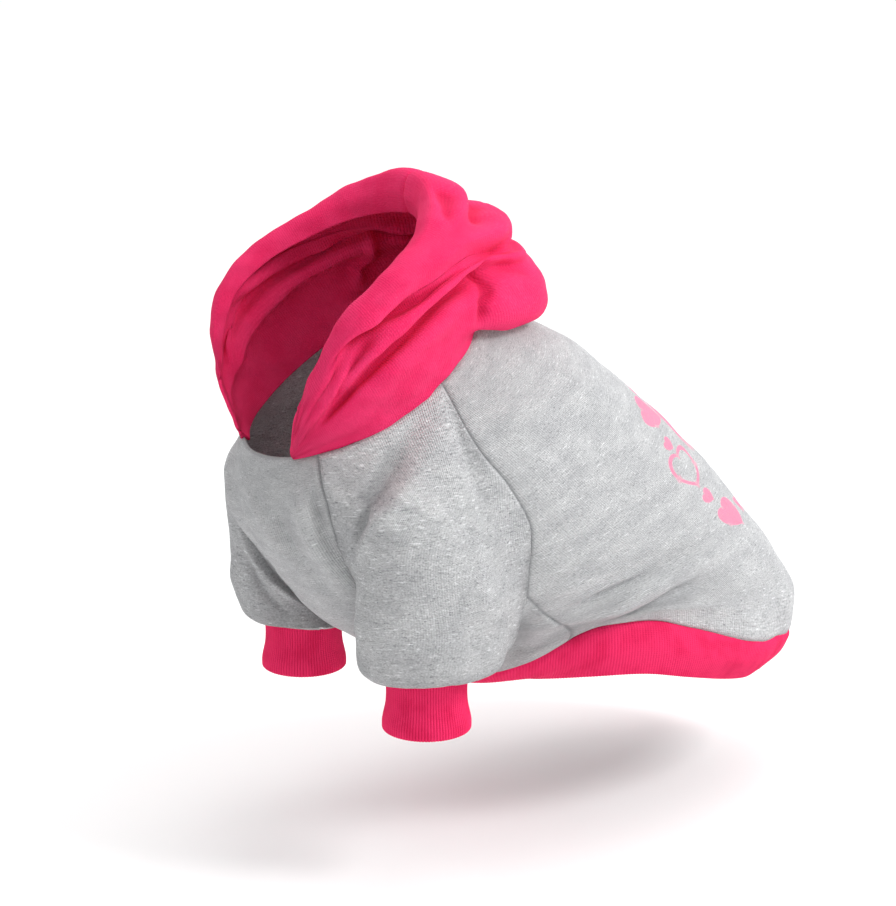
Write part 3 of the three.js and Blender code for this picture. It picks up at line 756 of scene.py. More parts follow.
    def band_point(self, around: Array, along: Array) -> Array:
        """Gives points of the hem band, which hangs from the hem seam and turns in under the body.

        Args:
            around: Angles from the mid-back in degrees, below 0 on the left.
            along: Places from the seam, 0, to the rim, 1.

        Returns:
            The points.
        """
        around, along = np.broadcast_arrays(around, along)
        ends = np.ones(around.shape[-1:])
        seam = self.point(around[0], ends)
        outwards = unit(self.outwards(self.slice_at(ends), around[0]) * LEVEL)
        places = np.array([0.0, 0.5, 1.0])
        shifts = []
        for name in ("in", "down"):
            half, end = (
                read(self.band, f"{part}_{name}", np.abs(around[0]), "around")
                for part in ("half", "end")
            )
            shift = smooth(places, np.stack([0 * half, half, end]), along[:, 0])
            shifts.append(shift * self.band_height)
        inward, down = shifts
        return seam - outwards * inward[..., None] - UP * down[..., None]

    def withers(self) -> Array:
        """Gives the point of the plain body that the part has at its origin."""
        found = self.slice_at(np.array(self.withers_along))
        return self.on_slice(found, np.array(0.0))

    def flat(self, around: Array, along: Array) -> Array:
        """Lays angles and places out on the flat cloth, in metres."""
        return joined(np.radians(around) * self.chest_width / 2, along * self.back_length)


@dataclass(frozen=True)
class Seams:
    """Where the back, the sleeves and the chest meet, and how finely the grids are divided."""

    fine: int = 8
    rows_above: int = 12
    rows_below: int = 8
    back_steps: int = 20
    chest_steps: int = 12
    neck_steps: int = 6
    armpit: float = 0.64
    chest_at_armpit: float = 0.86
    chest_bend: float = 6.0
    back: Table = field(default_factory=lambda: table(
        "down along around turn",
        (0.00, 0.00, 80, 78), (0.24, 0.15, 87, 66), (0.40, 0.25, 91, 57),
        (0.56, 0.36, 93, 47), (0.74, 0.47, 97, 35), (1.00, 0.64, 113, 18),
    ))
    front: Table = field(default_factory=lambda: table(
        "down along around turn middle",
        (0.00, 0.00, 142, 148, 0.00), (0.12, 0.17, 142, 174, 0.13), (0.22, 0.29, 145, 198, 0.24),
        (0.35, 0.43, 148, 222, 0.40), (0.48, 0.56, 151, 244, 0.54), (0.60, 0.67, 151, 267, 0.66),
        (0.71, 0.75, 150, 293, 0.745), (0.80, 0.785, 141, 321, 0.79), (0.90, 0.75, 127, 352, 0.825),
        (1.00, 0.64, 113, 378, 0.86),
    ))
    side: Table = field(default_factory=lambda: table(
        "along around", (0.64, 113), (0.82, 118), (1.00, 127),
    ))

    def downs(self) -> Array:
        """Gives the share of the way to the armpit of each row, and 1 from there on."""
        return np.minimum(np.arange(self.row_count() + 1) / (self.rows_above * self.fine), 1.0)

    def row_count(self) -> int:
        """Gives how many rows of cells the panels have."""
        return (self.rows_above + self.rows_below) * self.fine

    def below(self) -> Array:
        """Gives the share of the way from the armpit to the hem of each row, and 0 above it."""
        rows = np.arange(self.row_count() + 1) - self.rows_above * self.fine
        return np.maximum(rows, 0) / (self.rows_below * self.fine)

    def places(self, seam: Table) -> tuple[Array, Array]:
        """Gives where each row of the panels meets a seam.

        Args:
            seam: The back or the front seam.

        Returns:
            The places along and the angles, one for each row.
        """
        down, below = self.downs(), self.below()
        along = np.where(below > 0, self.armpit + (1 - self.armpit) * below,
                         read(seam, "along", down, "down"))
        around = np.where(below > 0, read(self.side, "around", along),
                          read(seam, "around", down, "down"))
        return along, around

    def ring(self) -> tuple[Array, Array, Array]:
        """Lists the armhole from the armpit up the back seam, along the neck and down the front.

        Returns:
            The angles, the places along and the turns round the sleeve.
        """
        above = self.rows_above * self.fine
        neck = self.neck_steps * self.fine
        up = 1 - np.arange(above) / above
        share = np.arange(neck) / neck
        down = np.arange(above) / above
        around_0, turn_0 = self.back["around"][0], self.back["turn"][0]
        around_1, turn_1 = self.front["around"][0], self.front["turn"][0]
        around = np.concatenate([
            read(self.back, "around", up, "down"),
            around_0 + (around_1 - around_0) * share,
            read(self.front, "around", down, "down"),
        ])
        along = np.concatenate([
            read(self.back, "along", up, "down"),
            np.zeros(neck),
            read(self.front, "along", down, "down"),
        ])
        turn = np.concatenate([
            read(self.back, "turn", up, "down"),
            turn_0 + (turn_1 - turn_0) * share,
            read(self.front, "turn", down, "down"),
        ])
        return around, along, turn


@dataclass(frozen=True)
class FleecePanels:
    """The grey back and chest panels."""

    body: Body
    seams: Seams
    thickness: float = 0.0018

    def back(self) -> Sheet:
        """Builds the back: each row runs straight across at the height where it meets the seam.

        Returns:
            The sheet.
        """
        along, around = self.seams.places(self.seams.back)
        across = np.linspace(-1, 1, self.seams.back_steps * self.seams.fine + 1)
        angle = across * around[:, None]
        place = np.repeat(along[:, None], len(across), axis=1)
        return Sheet("back_panel_cloth", self.body.point(angle, place),
                     self.body.flat(angle, place), False, 1, self.thickness)

    def chest(self) -> Sheet:
        """Builds the chest: its rows sag in the middle, because the sleeves lift them.

        Returns:
            The sheet.
        """
        along, around = self.seams.places(self.seams.front)
        across = np.linspace(-1, 1, self.seams.chest_steps * self.seams.fine + 1)
        below = self.seams.below()
        start = self.seams.chest_at_armpit
        middle = np.where(below > 0, start + (1 - start) * below,
                          read(self.seams.front, "middle", self.seams.downs(), "down"))
        bend = np.abs(across) ** self.seams.chest_bend
        place = middle[:, None] + (along - middle)[:, None] * bend
        size = 180 - np.abs(across) * (180 - around)[:, None]
        angle = np.where(across < 0, -size, size)
        flat_angle = -np.sign(across) * (180 - size)
        return Sheet("chest_panel_cloth", self.body.point(angle, place),
                     self.body.flat(flat_angle, place), False, -1, self.thickness)


@dataclass(frozen=True)
class Sleeve:
    """One raglan sleeve and its ribbed cuff.

    X is a share of the body's back_length, out a share of its chest_width, the sections' length
    and width shares of width, and drop and lean shares of length.
    """

    side: Side
    body: Body
    seams: Seams
    length: float = 0.097
    width: float = 0.098
    cuff_width: float = 0.043
    cuff_height: float = 0.033
    top_height: float = -0.047
    lean_turn: float = 46.0
    thickness: float = 0.0018
    rib_thickness: float = 0.0022
    rib_depth: float = 0.00044
    ribs: int = 92
    points_per_rib: int = 6
    fold_fade: float = 5.0
    gather_count: int = 7
    gather_depth: float = 0.16
    gather_start: float = 0.5
    ease_turn: float = 75.0
    ease_width: float = 30.0
    ease_rise: float = 0.05
    ease_reach: float = 0.6
    ease_columns: int = 9
    rows: int = 120
    cuff_rows: int = 30
    flat_length: float = 0.13
    sections: Table = field(default_factory=lambda: table(
        "along x out drop lean length width",
        (0.36, -0.317, 0.385, 0.42, 0.48, 0.94, 0.55),
        (0.62, -0.320, 0.373, 0.66, 0.17, 0.88, 0.57),
        (0.80, -0.320, 0.364, 0.76, 0.06, 0.79, 0.61),
        (0.92, -0.323, 0.361, 0.785, 0.01, 0.68, 0.60),
    ))
    cuff_seam: Table = field(default_factory=lambda: table(
        "along x out drop lean", (1.00, -0.330, 0.364, 0.76, 0.0),
    ))
    cuff: Table = field(default_factory=lambda: table(
        "along drop width",
        (0.0, 0.00, 1.00), (0.3, 0.30, 0.945), (0.6, 0.60, 0.955), (0.88, 0.88, 1.04),
        (1.0, 1.00, 1.045),
    ))
    folds: Folds = field(default_factory=lambda: Folds(table(
        "from_first from_along to_first to_along depth width",
        (90, 0.12, 152, 0.30, 0.40, 1.20),
        (122, 0.10, 164, 0.20, -0.30, 1.10),
    )))

    def name(self, piece: str) -> str:
        """Names a piece of this side."""
        return f"{self.side.name.lower()}_{piece}"

    def section_points(self, turn: Array) -> Array:
        """Places the points of all sections, the cuff seam last, at turns round the sleeve.

        A section is an ellipse, level but for the lean, which raises the outer rear side by the
        sine of the turn from lean_turn.

        Args:
            turn: Turns from the rear in degrees.

        Returns:
            The sections' points: sections, then turns, then coordinates.
        """
        rows = {
            name: np.append(self.sections[name], self.cuff_seam[name])[:, None]
            for name in ("x", "out", "drop", "lean")
        }
        half_length = np.append(self.sections["length"] * self.width, self.cuff_width)[:, None] / 2
        half_width = np.append(self.sections["width"] * self.width, self.cuff_width)[:, None] / 2
        angle = np.radians(turn)
        lean = rows["lean"] * np.sin(np.radians(turn - self.lean_turn))
        return np.stack([
            rows["x"] * self.body.back_length + half_length * np.cos(angle),
            self.side.value * (rows["out"] * self.body.chest_width + half_width * np.sin(angle)),
            self.top_height * self.body.back_length - (rows["drop"] - lean) * self.length,
        ], -1) - self.body.withers()

    def lift(self, turn: Array, along: Array) -> Array:
        """Gives how far folds and gathers lift the sleeve.

        The gathers are a cosine round the sleeve times half a sine wave towards the cuff, and all
        fades out at both seams.

        Args:
            turn: Turns round the sleeve in degrees.
            along: Places along the sleeve.

        Returns:
            The lift in metres.
        """
        folds = self.folds.lift(turn, along, self.width / 2, self.length)
        start = self.gather_start
        drawn = np.sin(np.pi * np.maximum(along - start, 0) / (1 - start))
        wave = np.cos(np.radians(turn) * self.gather_count)
        fade = np.minimum(1, np.minimum(along, 1 - along) * self.fold_fade)
        return fade * (folds + wave * drawn * self.gather_depth * self.folds.depth)

    def eased(self, points: Array, turn: Array, along: Array) -> Array:
        """Evens out the kink that the armhole's upper corner would leave down the sleeve.

        Each point moves towards the mean of its neighbours round the sleeve, weighed by a bell
        curve. How far it moves is another bell curve of its turn from the corner's, times a rise
        over the first rows and a fall over the reach.

        Args:
            points: The sleeve's points: rows, then columns, then coordinates.
            turn: Turns round the sleeve in degrees.
            along: Places along the sleeve.

        Returns:
            The eased points.
        """
        steps = np.arange(-3 * self.ease_columns, 3 * self.ease_columns + 1)
        weights = np.exp(-((steps / self.ease_columns) ** 2))
        mean = sum(weight * np.roll(points, step, axis=1) for weight, step in zip(weights, steps))
        share = np.exp(-(((turn - self.ease_turn) / self.ease_width) ** 2))
        share = share * np.minimum(1, along / self.ease_rise)
        share = share * np.maximum(0, 1 - along / self.ease_reach)
        return points + share[..., None] * (mean / weights.sum() - points)

    def sleeve(self) -> Sheet:
        """Builds the sleeve from the armhole through its sections to the cuff seam.

        Returns:
            The sheet.
        """
        around, ring_along, turn = self.seams.ring()
        stops = np.concatenate([
            self.body.point(self.side.value * around, ring_along)[None],
            self.section_points(turn),
        ])
        places = np.concatenate([[0.0], self.sections["along"], self.cuff_seam["along"]])
        along = np.linspace(0, 1, self.rows + 1)
        points = self.eased(smooth(places, stops, along), turn, along[:, None])
        angle = np.radians(turn)
        outwards = np.stack([np.cos(angle), self.side.value * np.sin(angle), 0 * angle], -1)
        points = points + outwards * self.lift(turn[None], along[:, None])[..., None]
        flat = joined(angle * self.width / 2, along[:, None] * self.flat_length)
        return Sheet(self.name("sleeve_cloth"), points, flat, True, self.side.value,
                     self.thickness)

    def cuff_sheet(self) -> tuple[Sheet, Array]:
        """Builds the cuff: circles down from the cuff seam, with ribs round it.

        Returns:
            The sheet and the ribs' lift.
        """
        steps = self.ribs * self.points_per_rib
        turn = np.arange(steps) / steps * 360
        seam = self.section_points(turn)[-1]
        centre = seam.mean(0)
        along = np.linspace(0, 1, self.cuff_rows + 1)
        wide = read(self.cuff, "width", along)[:, None, None]
        drop = read(self.cuff, "drop", along)[:, None, None] * self.cuff_height
        points = centre + (seam - centre) * wide - UP * drop
        flat = joined(np.radians(turn) * self.cuff_width / 2, along[:, None] * self.cuff_height)
        sheet = Sheet(self.name("cuff_rib"), points, flat, True, self.side.value,
                      self.rib_thickness, frozenset({Edge.LAST}))
        return sheet, rib_lift(self.ribs, self.points_per_rib, self.rib_depth, len(along))


@dataclass(frozen=True)
class HemBand:
    """The ribbed band below the body."""

    body: Body
    thickness: float = 0.0022
    rib_depth: float = 0.00050
    ribs: int = 372
    points_per_rib: int = 5
    rows: int = 20
    tries: int = 2001

    def sheet(self) -> tuple[Sheet, Array]:
        """Builds the band with its ribs.

        The angles are spaced so that the ribs are equally wide along the middle of the band.

        Returns:
            The sheet and the ribs' lift.
        """
        steps = self.ribs * self.points_per_rib
        tries = np.linspace(-180, 180, self.tries)
        middle = self.body.band_point(tries[None], np.full((1, 1), 0.5))[0]
        run = np.append(0, np.cumsum(np.linalg.norm(np.diff(middle, axis=0), axis=-1)))
        around = np.interp(np.arange(steps) / steps * run[-1], run, tries)
        along = np.linspace(0, 1, self.rows + 1)
        points = self.body.band_point(around[None], along[:, None])
        flat = joined(np.arange(steps) / steps * run[-1], along[:, None] * self.body.band_height)
        sheet = Sheet("hem_band_rib", points, flat, True, 1, self.thickness,
                      frozenset({Edge.LAST}))
        return sheet, rib_lift(self.ribs, self.points_per_rib, self.rib_depth, len(along))


@dataclass(frozen=True)
class Hood:
    """The two-piece hood, folded down on the nape.

    The profiles give, for angles round the neckline, how far each line of the hood stands out
    from it and how high above it, as shares of height, from the seam to the free rim.
    """

    body: Body
    seams: Seams
    height: float = 0.066
    thickness: float = 0.0017
    lift_off: float = 0.0008
    start: tuple[float, float] = (-0.022, -0.045)
    flat_radius: float = 0.45
    flat_step: float = 0.13
    tip_around: float = 155.0
    tip_steps: int = 2
    rows_per_line: int = 9
    around: Array = field(default_factory=lambda: np.array(
        [0.0, 22.0, 42.0, 60.0, 82.0, 104.0, 122.0, 142.0, 155.0]))
    out: Table = field(default_factory=lambda: table(
        "stand under heel sag bag lower_crease ridge upper_crease roll dip crest brim inner edge",
        (0.06, 0.17, 0.33, 0.50, 0.56, 0.54, 0.53, 0.47, 0.56, 0.34, 0.31, 0.10, -0.06, -0.10),
        (0.06, 0.16, 0.31, 0.46, 0.52, 0.48, 0.48, 0.38, 0.48, 0.29, 0.28, 0.09, -0.06, -0.11),
        (0.05, 0.12, 0.19, 0.30, 0.32, 0.17, 0.29, 0.19, 0.29, 0.23, 0.20, 0.09, -0.05, -0.12),
        (0.04, 0.08, 0.12, 0.16, 0.17, 0.07, 0.18, 0.09, 0.17, 0.15, 0.10, 0.03, -0.05, -0.11),
        (0.03, 0.07, 0.10, 0.12, 0.12, 0.04, 0.14, 0.05, 0.12, 0.11, 0.07, 0.01, -0.05, -0.09),
        (0.02, 0.05, 0.08, 0.10, 0.09, 0.03, 0.11, 0.04, 0.09, 0.08, 0.05, 0.00, -0.04, -0.07),
        (0.01, 0.03, 0.05, 0.06, 0.06, 0.02, 0.07, 0.04, 0.06, 0.05, 0.03, 0.00, -0.02, -0.03),
        (0.00, 0.01, 0.02, 0.02, 0.02, 0.01, 0.02, 0.02, 0.02, 0.01, 0.01, 0.00, 0.00, 0.00),
        (0.00, 0.00, 0.00, 0.00, 0.00, 0.00, 0.00, 0.00, 0.00, 0.00, 0.00, 0.00, 0.00, 0.00),
    ))
    up: Table = field(default_factory=lambda: table(
        "stand under heel sag bag lower_crease ridge upper_crease roll dip crest brim inner edge",
        (0.02, -0.23, -0.53, -0.48, -0.24, -0.08, 0.01, 0.08, 0.30, 0.57, 0.76, 1.00, 0.92, 0.76),
        (0.02, -0.19, -0.43, -0.38, -0.13, 0.04, 0.12, 0.20, 0.40, 0.61, 0.80, 1.00, 0.93, 0.78),
        (0.03, -0.07, -0.17, -0.08, 0.18, 0.41, 0.48, 0.56, 0.68, 0.78, 0.88, 1.00, 0.97, 0.84),
        (0.07, 0.11, 0.17, 0.27, 0.40, 0.54, 0.63, 0.72, 0.82, 0.90, 0.96, 1.00, 0.97, 0.88),
        (0.09, 0.18, 0.28, 0.38, 0.48, 0.60, 0.71, 0.83, 0.91, 0.97, 1.02, 1.04, 1.00, 0.92),
        (0.09, 0.17, 0.26, 0.36, 0.46, 0.56, 0.66, 0.78, 0.85, 0.91, 0.95, 0.97, 0.94, 0.87),
        (0.07, 0.13, 0.20, 0.27, 0.34, 0.42, 0.49, 0.57, 0.62, 0.67, 0.71, 0.73, 0.71, 0.66),
        (0.04, 0.07, 0.10, 0.13, 0.16, 0.19, 0.22, 0.25, 0.28, 0.30, 0.32, 0.34, 0.36, 0.37),
        (0.00, 0.00, 0.01, 0.01, 0.01, 0.01, 0.01, 0.02, 0.02, 0.02, 0.02, 0.02, 0.03, 0.03),
    ))

    def angles(self) -> Array:
        """Divides the neckline from the mid-back to the hood's tip.

        Returns:
            The angles in degrees.
        """
        fine = self.seams.fine
        back, front = self.seams.back["around"][0], self.seams.front["around"][0]
        return np.concatenate([
            np.linspace(0, back, self.seams.back_steps // 2 * fine + 1),
            np.linspace(back, front, self.seams.neck_steps * fine + 1)[1:],
            np.linspace(front, self.tip_around, self.tip_steps * fine + 1)[1:],
        ])

    def half(self, side: Side) -> Sheet:
        """Builds one half of the hood from its profiles.

        Between angles and between the lines of a profile, the profile is read along smooth
        curves. Its out is measured away from the neckline and its up square to the neckline's
        plane. It starts just inside the neck, where its seam allowance lies.

        Args:
            side: The side of the half.

        Returns:
            The sheet.
        """
        angles = self.angles()
        lines = np.stack([np.stack(list(way.values()), -1) for way in (self.out, self.up)], -1)
        stops = smooth(self.around, lines, angles)
        start = np.broadcast_to(np.array(self.start), (len(angles), 1, 2))
        stops = np.concatenate([start, stops], 1).swapaxes(0, 1)
        at = np.linspace(0, len(stops) - 1, (len(stops) - 1) * self.rows_per_line + 1)
        profile = smooth(np.arange(len(stops), dtype=float), stops, at) * self.height
        found = self.body.slice_at(np.zeros(len(angles)))
        outwards = self.body.outwards(found, side.value * angles)
        rearwards = self.body.outwards(self.body.slice_at(np.array(0.0)), np.array(0.0))
        upwards = np.array([-rearwards[2], 0, rearwards[0]])
        points = (
            self.body.point(side.value * angles, np.zeros(len(angles)))
            + outwards * profile[..., :1]
            + upwards * (profile[..., 1:] + self.lift_off)
        )
        flat = joined(np.radians(angles) * self.body.chest_width * self.flat_radius,
                      (at * self.height * self.flat_step)[:, None])
        return Sheet(f"{side.name.lower()}_hood_cloth", points, flat, False, -side.value,
                     self.thickness, frozenset({Edge.FIRST, Edge.LAST, Edge.END}))


class Graph:
    """A material's nodes, with short ways to add them."""

    def __init__(self, name: str) -> None:
        """Starts a material with a surface shader.

        Args:
            name: The material's name.
        """
        self.material = bpy.data.materials.new(name)
        self.material.use_nodes = True
        self.tree = self.material.node_tree
        self.shader = self.tree.nodes["Principled BSDF"]

    def node(self, kind: str, inputs: dict | None = None, **settings: object) -> bpy.types.Node:
        """Adds a node.

        Args:
            kind: The node's type.
            inputs: What each input gets, a value or another node's output.
            settings: The node's own settings.

        Returns:
            The node.
        """
        made = self.tree.nodes.new(kind)
        for name, value in settings.items():
            setattr(made, name, value)
        for name, value in (inputs or {}).items():
            if isinstance(value, bpy.types.NodeSocket):
                self.tree.links.new(value, made.inputs[name])
            else:
                made.inputs[name].default_value = value
        return made

    def math(self, operation: str, *values: object) -> bpy.types.NodeSocket:
        """Adds a math node and returns its result."""
        return self.node("ShaderNodeMath", dict(enumerate(values)), operation=operation).outputs[0]

    def mix(self, share: object, first: object, second: object) -> bpy.types.NodeSocket:
        """Mixes two colours by a share and returns the colour."""
        made = self.node("ShaderNodeMix", {0: share, 6: first, 7: second}, data_type="RGBA")
        return made.outputs[2]

    def ramp(self, value: object, low: float, high: float) -> bpy.types.NodeSocket:
        """Stretches a value so that low becomes 0 and high becomes 1, along an S-curve."""
        inputs = {0: value, 1: low, 2: high}
        return self.node("ShaderNodeMapRange", inputs, interpolation_type="SMOOTHSTEP").outputs[0]

    def layer(self, value: object, low: float, high: float, most: float,
              under: object, over: object) -> bpy.types.NodeSocket:
        """Lays a colour over another where a value passes from low to high.

        Args:
            value: The value.
            low: Where the upper colour begins.
            high: Where it covers most.
            most: The most that it covers, as a share.
            under: The lower colour.
            over: The upper colour.

        Returns:
            The mixed colour.
        """
        return self.mix(self.math("MULTIPLY", self.ramp(value, low, high), most), under, over)

    def scaled(self, vector: object, *scale: float) -> bpy.types.NodeSocket:
        """Scales a vector along its three axes."""
        return self.node("ShaderNodeMapping", {"Vector": vector, "Scale": scale}).outputs[0]

    def flat(self) -> bpy.types.NodeSocket:
        """Gives the place on the flat cloth, in metres."""
        return self.node("ShaderNodeUVMap", uv_map=CLOTH_MAP).outputs[0]

    def cloth(self, across: float, along: float) -> bpy.types.NodeSocket:
        """Gives the place on the flat cloth, in so many units a metre across and along."""
        return self.scaled(self.flat(), across, along, 1.0)

    def level(self, across: float, upwards: float) -> bpy.types.NodeSocket:
        """Gives the place in space, in so many units a metre, for flecks that run level."""
        place = self.node("ShaderNodeTexCoord").outputs["Object"]
        return self.scaled(place, across, across, upwards)

    def noise(self, vector: object, detail: float = 2.0,
              scale: float = 1.0) -> bpy.types.NodeSocket:
        """Adds a noise texture and returns its value."""
        inputs = {"Vector": vector, "Scale": scale, "Detail": detail}
        return self.node("ShaderNodeTexNoise", inputs).outputs[0]

    def attribute(self, name: str) -> bpy.types.NodeSocket:
        """Reads one of the piece's own numbers."""
        return self.node("ShaderNodeAttribute", attribute_name=name).outputs[2]

    def knit(self, wale: float, course: float, lean: float = 2.4,
             loop_share: float = 0.3) -> bpy.types.NodeSocket:
        """Gives the height of a plain knit: columns of loops crossed by courses.

        The height is the size of a sine across the columns times one plus a part of a sine along
        them, whose phase leans to the middle of each column, so that the loops form V shapes.

        Args:
            wale: The width of a column of loops, in metres.
            course: The height of a loop, in metres.
            lean: How far the phase leans, in radians.
            loop_share: The part that the loops have in the height.

        Returns:
            The height, from 0 to 1.
        """
        place = self.node("ShaderNodeSeparateXYZ", {0: self.flat()})
        across = self.math("MULTIPLY", place.outputs[0], math.pi / wale)
        ridge = self.math("ABSOLUTE", self.math("SINE", across))
        along = self.math("MULTIPLY", place.outputs[1], 2 * math.pi / course)
        phase = self.math("ADD", along, self.math("MULTIPLY", ridge, lean))
        loop = self.math("MULTIPLY_ADD", self.math("SINE", phase), loop_share, 1 - loop_share)
        return self.math("MULTIPLY", ridge, loop)

    def finish(self, colour: object, roughness: float, height: object, depth: float,
               sheen: float, sheen_tint: Colour) -> bpy.types.Material:
        """Joins everything to the shader.

        Args:
            colour: The base colour.
            roughness: The roughness.
            height: The height of the bumps.
            depth: How deep the bumps are, in metres.
            sheen: How strong the fibres' sheen is.
            sheen_tint: The sheen's colour.

        Returns:
            The material.
        """
        bump = self.node("ShaderNodeBump", {"Height": height, "Distance": depth, "Strength": 1.0})
        self.tree.links.new(colour, self.shader.inputs["Base Color"])
        self.tree.links.new(bump.outputs[0], self.shader.inputs["Normal"])
        settings = {
            "Roughness": roughness, "Specular IOR Level": 0.15, "Sheen Weight": sheen,
            "Sheen Roughness": 0.45, "Sheen Tint": sheen_tint,
        }
        for name, value in settings.items():
            self.shader.inputs[name].default_value = value
        return self.material


@dataclass(frozen=True)
class Heart:
    """One printed heart: its place on the flat back in metres, its half size, turn and rim.

    A rim of 0 fills the heart, and any other leaves a line that is this share of the size wide.
    """

    across: float
    along: float
    size: float
    turn: float = 0.0
    rim: float = 0.0


@dataclass(frozen=True)
class MarlFleece:
    """Grey marl fleece: pale fibres among grey ones, in short flecks across, over a plain knit,
    with painted shade in its seams and crease hollows.
    """

    name: str
    grey: Colour = (0.515, 0.520, 0.526, 1.0)
    # The dark colour serves the dark flecks and is also the painted shade in seams and crease
    # hollows.
    dark_fleck_and_shade: Colour = (0.200, 0.204, 0.214, 1.0)
    pale: Colour = (0.860, 0.868, 0.875, 1.0)
    print_colour: Colour = (0.85, 0.270, 0.400, 1.0)
    wale: float = 0.0010
    course: float = 0.0009
    bump_depth: float = 0.00038
    painted_hollow_shade: tuple[float, float] = (-0.0015, -0.0045)
    tones: tuple[Colour, Colour] = ((0.90, 0.90, 0.91, 1.0), (1.06, 1.06, 1.06, 1.0))
    level_flecks: bool = False
    print_hearts: tuple[Heart, ...] = ()
    print_fit: float = 1.15
    print_drop: float = 0.1
    print_edge: float = 0.02

    def make(self) -> bpy.types.Material:
        """Builds the material.

        Returns:
            The material.
        """
        graph = Graph(self.name)
        lay = graph.level if self.level_flecks else graph.cloth
        fibres = graph.noise(lay(210, 1000))
        specks = graph.noise(lay(520, 1100))
        hairs = graph.noise(lay(900, 1500))
        clouds = graph.noise(lay(55, 90))
        colour: object = self.grey
        for flecks, low, high, most, tint in (
            (hairs, 0.50, 0.25, 0.45, self.dark_fleck_and_shade), (hairs, 0.50, 0.75, 0.45, self.pale),
            (specks, 0.40, 0.28, 0.70, self.dark_fleck_and_shade),
            (fibres, 0.44, 0.28, 0.42, self.dark_fleck_and_shade), (fibres, 0.60, 0.74, 0.75, self.pale),
        ):
            colour = graph.layer(flecks, low, high, most, colour, tint)
        tone = graph.mix(graph.ramp(clouds, 0.3, 0.7), *self.tones)
        shaded = graph.node("ShaderNodeMix", {0: 1.0, 6: colour, 7: tone}, data_type="RGBA",
                            blend_type="MULTIPLY", clamp_result=False)
        colour = shaded.outputs[2]
        height = graph.math("MULTIPLY_ADD", hairs, 0.9, graph.knit(self.wale, self.course))
        if self.print_hearts:
            ink = self._print(graph)
            worn = graph.ramp(fibres, 0.25, 0.45)
            cover = graph.math("MULTIPLY", ink, graph.math("MULTIPLY_ADD", worn, 0.35, 0.65))
            colour = graph.mix(cover, colour, self.print_colour)
        # Painted shade: the cloth darkens towards the dark colour where its outer face sinks into a
        # seam.
        seam = graph.attribute("seam")
        sunk = graph.math("MULTIPLY", graph.ramp(seam, 0.25, 1.0), 0.45)
        # Painted shade: the cloth darkens towards the dark colour in the hollows of its creases,
        # where the lift falls below zero.
        painted_hollow_shade = graph.math("MULTIPLY", graph.ramp(graph.attribute("lift"), *self.painted_hollow_shade), 0.30)
        colour = graph.mix(graph.math("MAXIMUM", sunk, painted_hollow_shade), colour, self.dark_fleck_and_shade)
        return graph.finish(colour, 0.95, height, self.bump_depth, 0.08, (0.9, 0.92, 0.95, 1.0))

    def _print(self, graph: Graph) -> bpy.types.NodeSocket:
        """Draws the hearts: each is where (x² + y² - 1)³ is less than x² y³.

        Args:
            graph: The material's nodes.

        Returns:
            1 on the print and 0 off it.
        """
        total: object = 0.0
        flat = graph.flat()
        for heart in self.print_hearts:
            placed = graph.node("ShaderNodeMapping", {
                "Vector": flat, "Location": (heart.across, heart.along, 0),
                "Rotation": (0, 0, heart.turn),
                "Scale": (heart.size, -heart.size, 1)}, vector_type="TEXTURE")
            inside = self._inside(graph, placed.outputs[0], 1.0)
            if heart.rim:
                hole = self._inside(graph, placed.outputs[0], 1.0 / (1.0 - heart.rim))
                inside = graph.math("MULTIPLY", inside, graph.math("SUBTRACT", 1.0, hole))
            total = graph.math("MAXIMUM", total, inside)
        return total

    def _inside(self, graph: Graph, vector: object, scale: float) -> bpy.types.NodeSocket:
        """Tells the inside of a heart that fits a square of half size one over scale.

        Args:
            graph: The material's nodes.
            vector: The place, from the heart's middle.
            scale: How much smaller the heart is drawn.

        Returns:
            1 inside the heart and 0 outside it.
        """
        place = graph.node("ShaderNodeSeparateXYZ", {0: vector})
        x = graph.math("MULTIPLY", place.outputs[0], self.print_fit * scale)
        y = graph.math("MULTIPLY_ADD", place.outputs[1], self.print_fit * scale, self.print_drop)
        x2 = graph.math("MULTIPLY", x, x)
        y2 = graph.math("MULTIPLY", y, y)
        ball = graph.math("SUBTRACT", graph.math("ADD", x2, y2), 1.0)
        cube = graph.math("MULTIPLY", graph.math("MULTIPLY", ball, ball), ball)
        lobe = graph.math("MULTIPLY", x2, graph.math("MULTIPLY", y2, y))
        return graph.ramp(graph.math("SUBTRACT", lobe, cube), -self.print_edge, self.print_edge)


@dataclass(frozen=True)
class PinkJersey:
    """Pink jersey with a soft nap and a fine knit, and painted shade inside its folds."""

    name: str = "pink_jersey"
    pink: Colour = (0.820, 0.031, 0.140, 1.0)
    deep: Colour = (0.780, 0.020, 0.115, 1.0)
    bright: Colour = (0.900, 0.058, 0.195, 1.0)
    # The fold colour is the painted shade of the crease valleys.
    fold: Colour = (0.540, 0.004, 0.050, 1.0)
    painted_fold_shade_depth: float = 0.0036
    wale: float = 0.0012
    course: float = 0.0010
    bump_depth: float = 0.00028

    def make(self) -> bpy.types.Material:
        """Builds the material.

        Returns:
            The material.
        """
        graph = Graph(self.name)
        clouds = graph.noise(graph.cloth(60, 60), detail=3.0)
        hairs = graph.noise(graph.cloth(900, 1300), detail=3.0)
        colour = graph.mix(graph.ramp(clouds, 0.35, 0.65), self.deep, self.pink)
        colour = graph.layer(hairs, 0.45, 0.8, 0.5, colour, self.bright)
        colour = graph.layer(hairs, 0.45, 0.2, 0.4, colour, self.deep)
        # Painted shade: the colour darkens towards the fold colour in the valleys of the creases,
        # where the lift falls below zero.
        lift = graph.attribute("lift")
        depth = self.painted_fold_shade_depth
        colour = graph.layer(lift, -0.2 * depth, -depth, 0.70, colour, self.fold)
        height = graph.math("MULTIPLY_ADD", hairs, 1.1, graph.knit(self.wale, self.course))
        return graph.finish(colour, 0.9, height, self.bump_depth, 0.06, (1.0, 0.35, 0.50, 1.0))


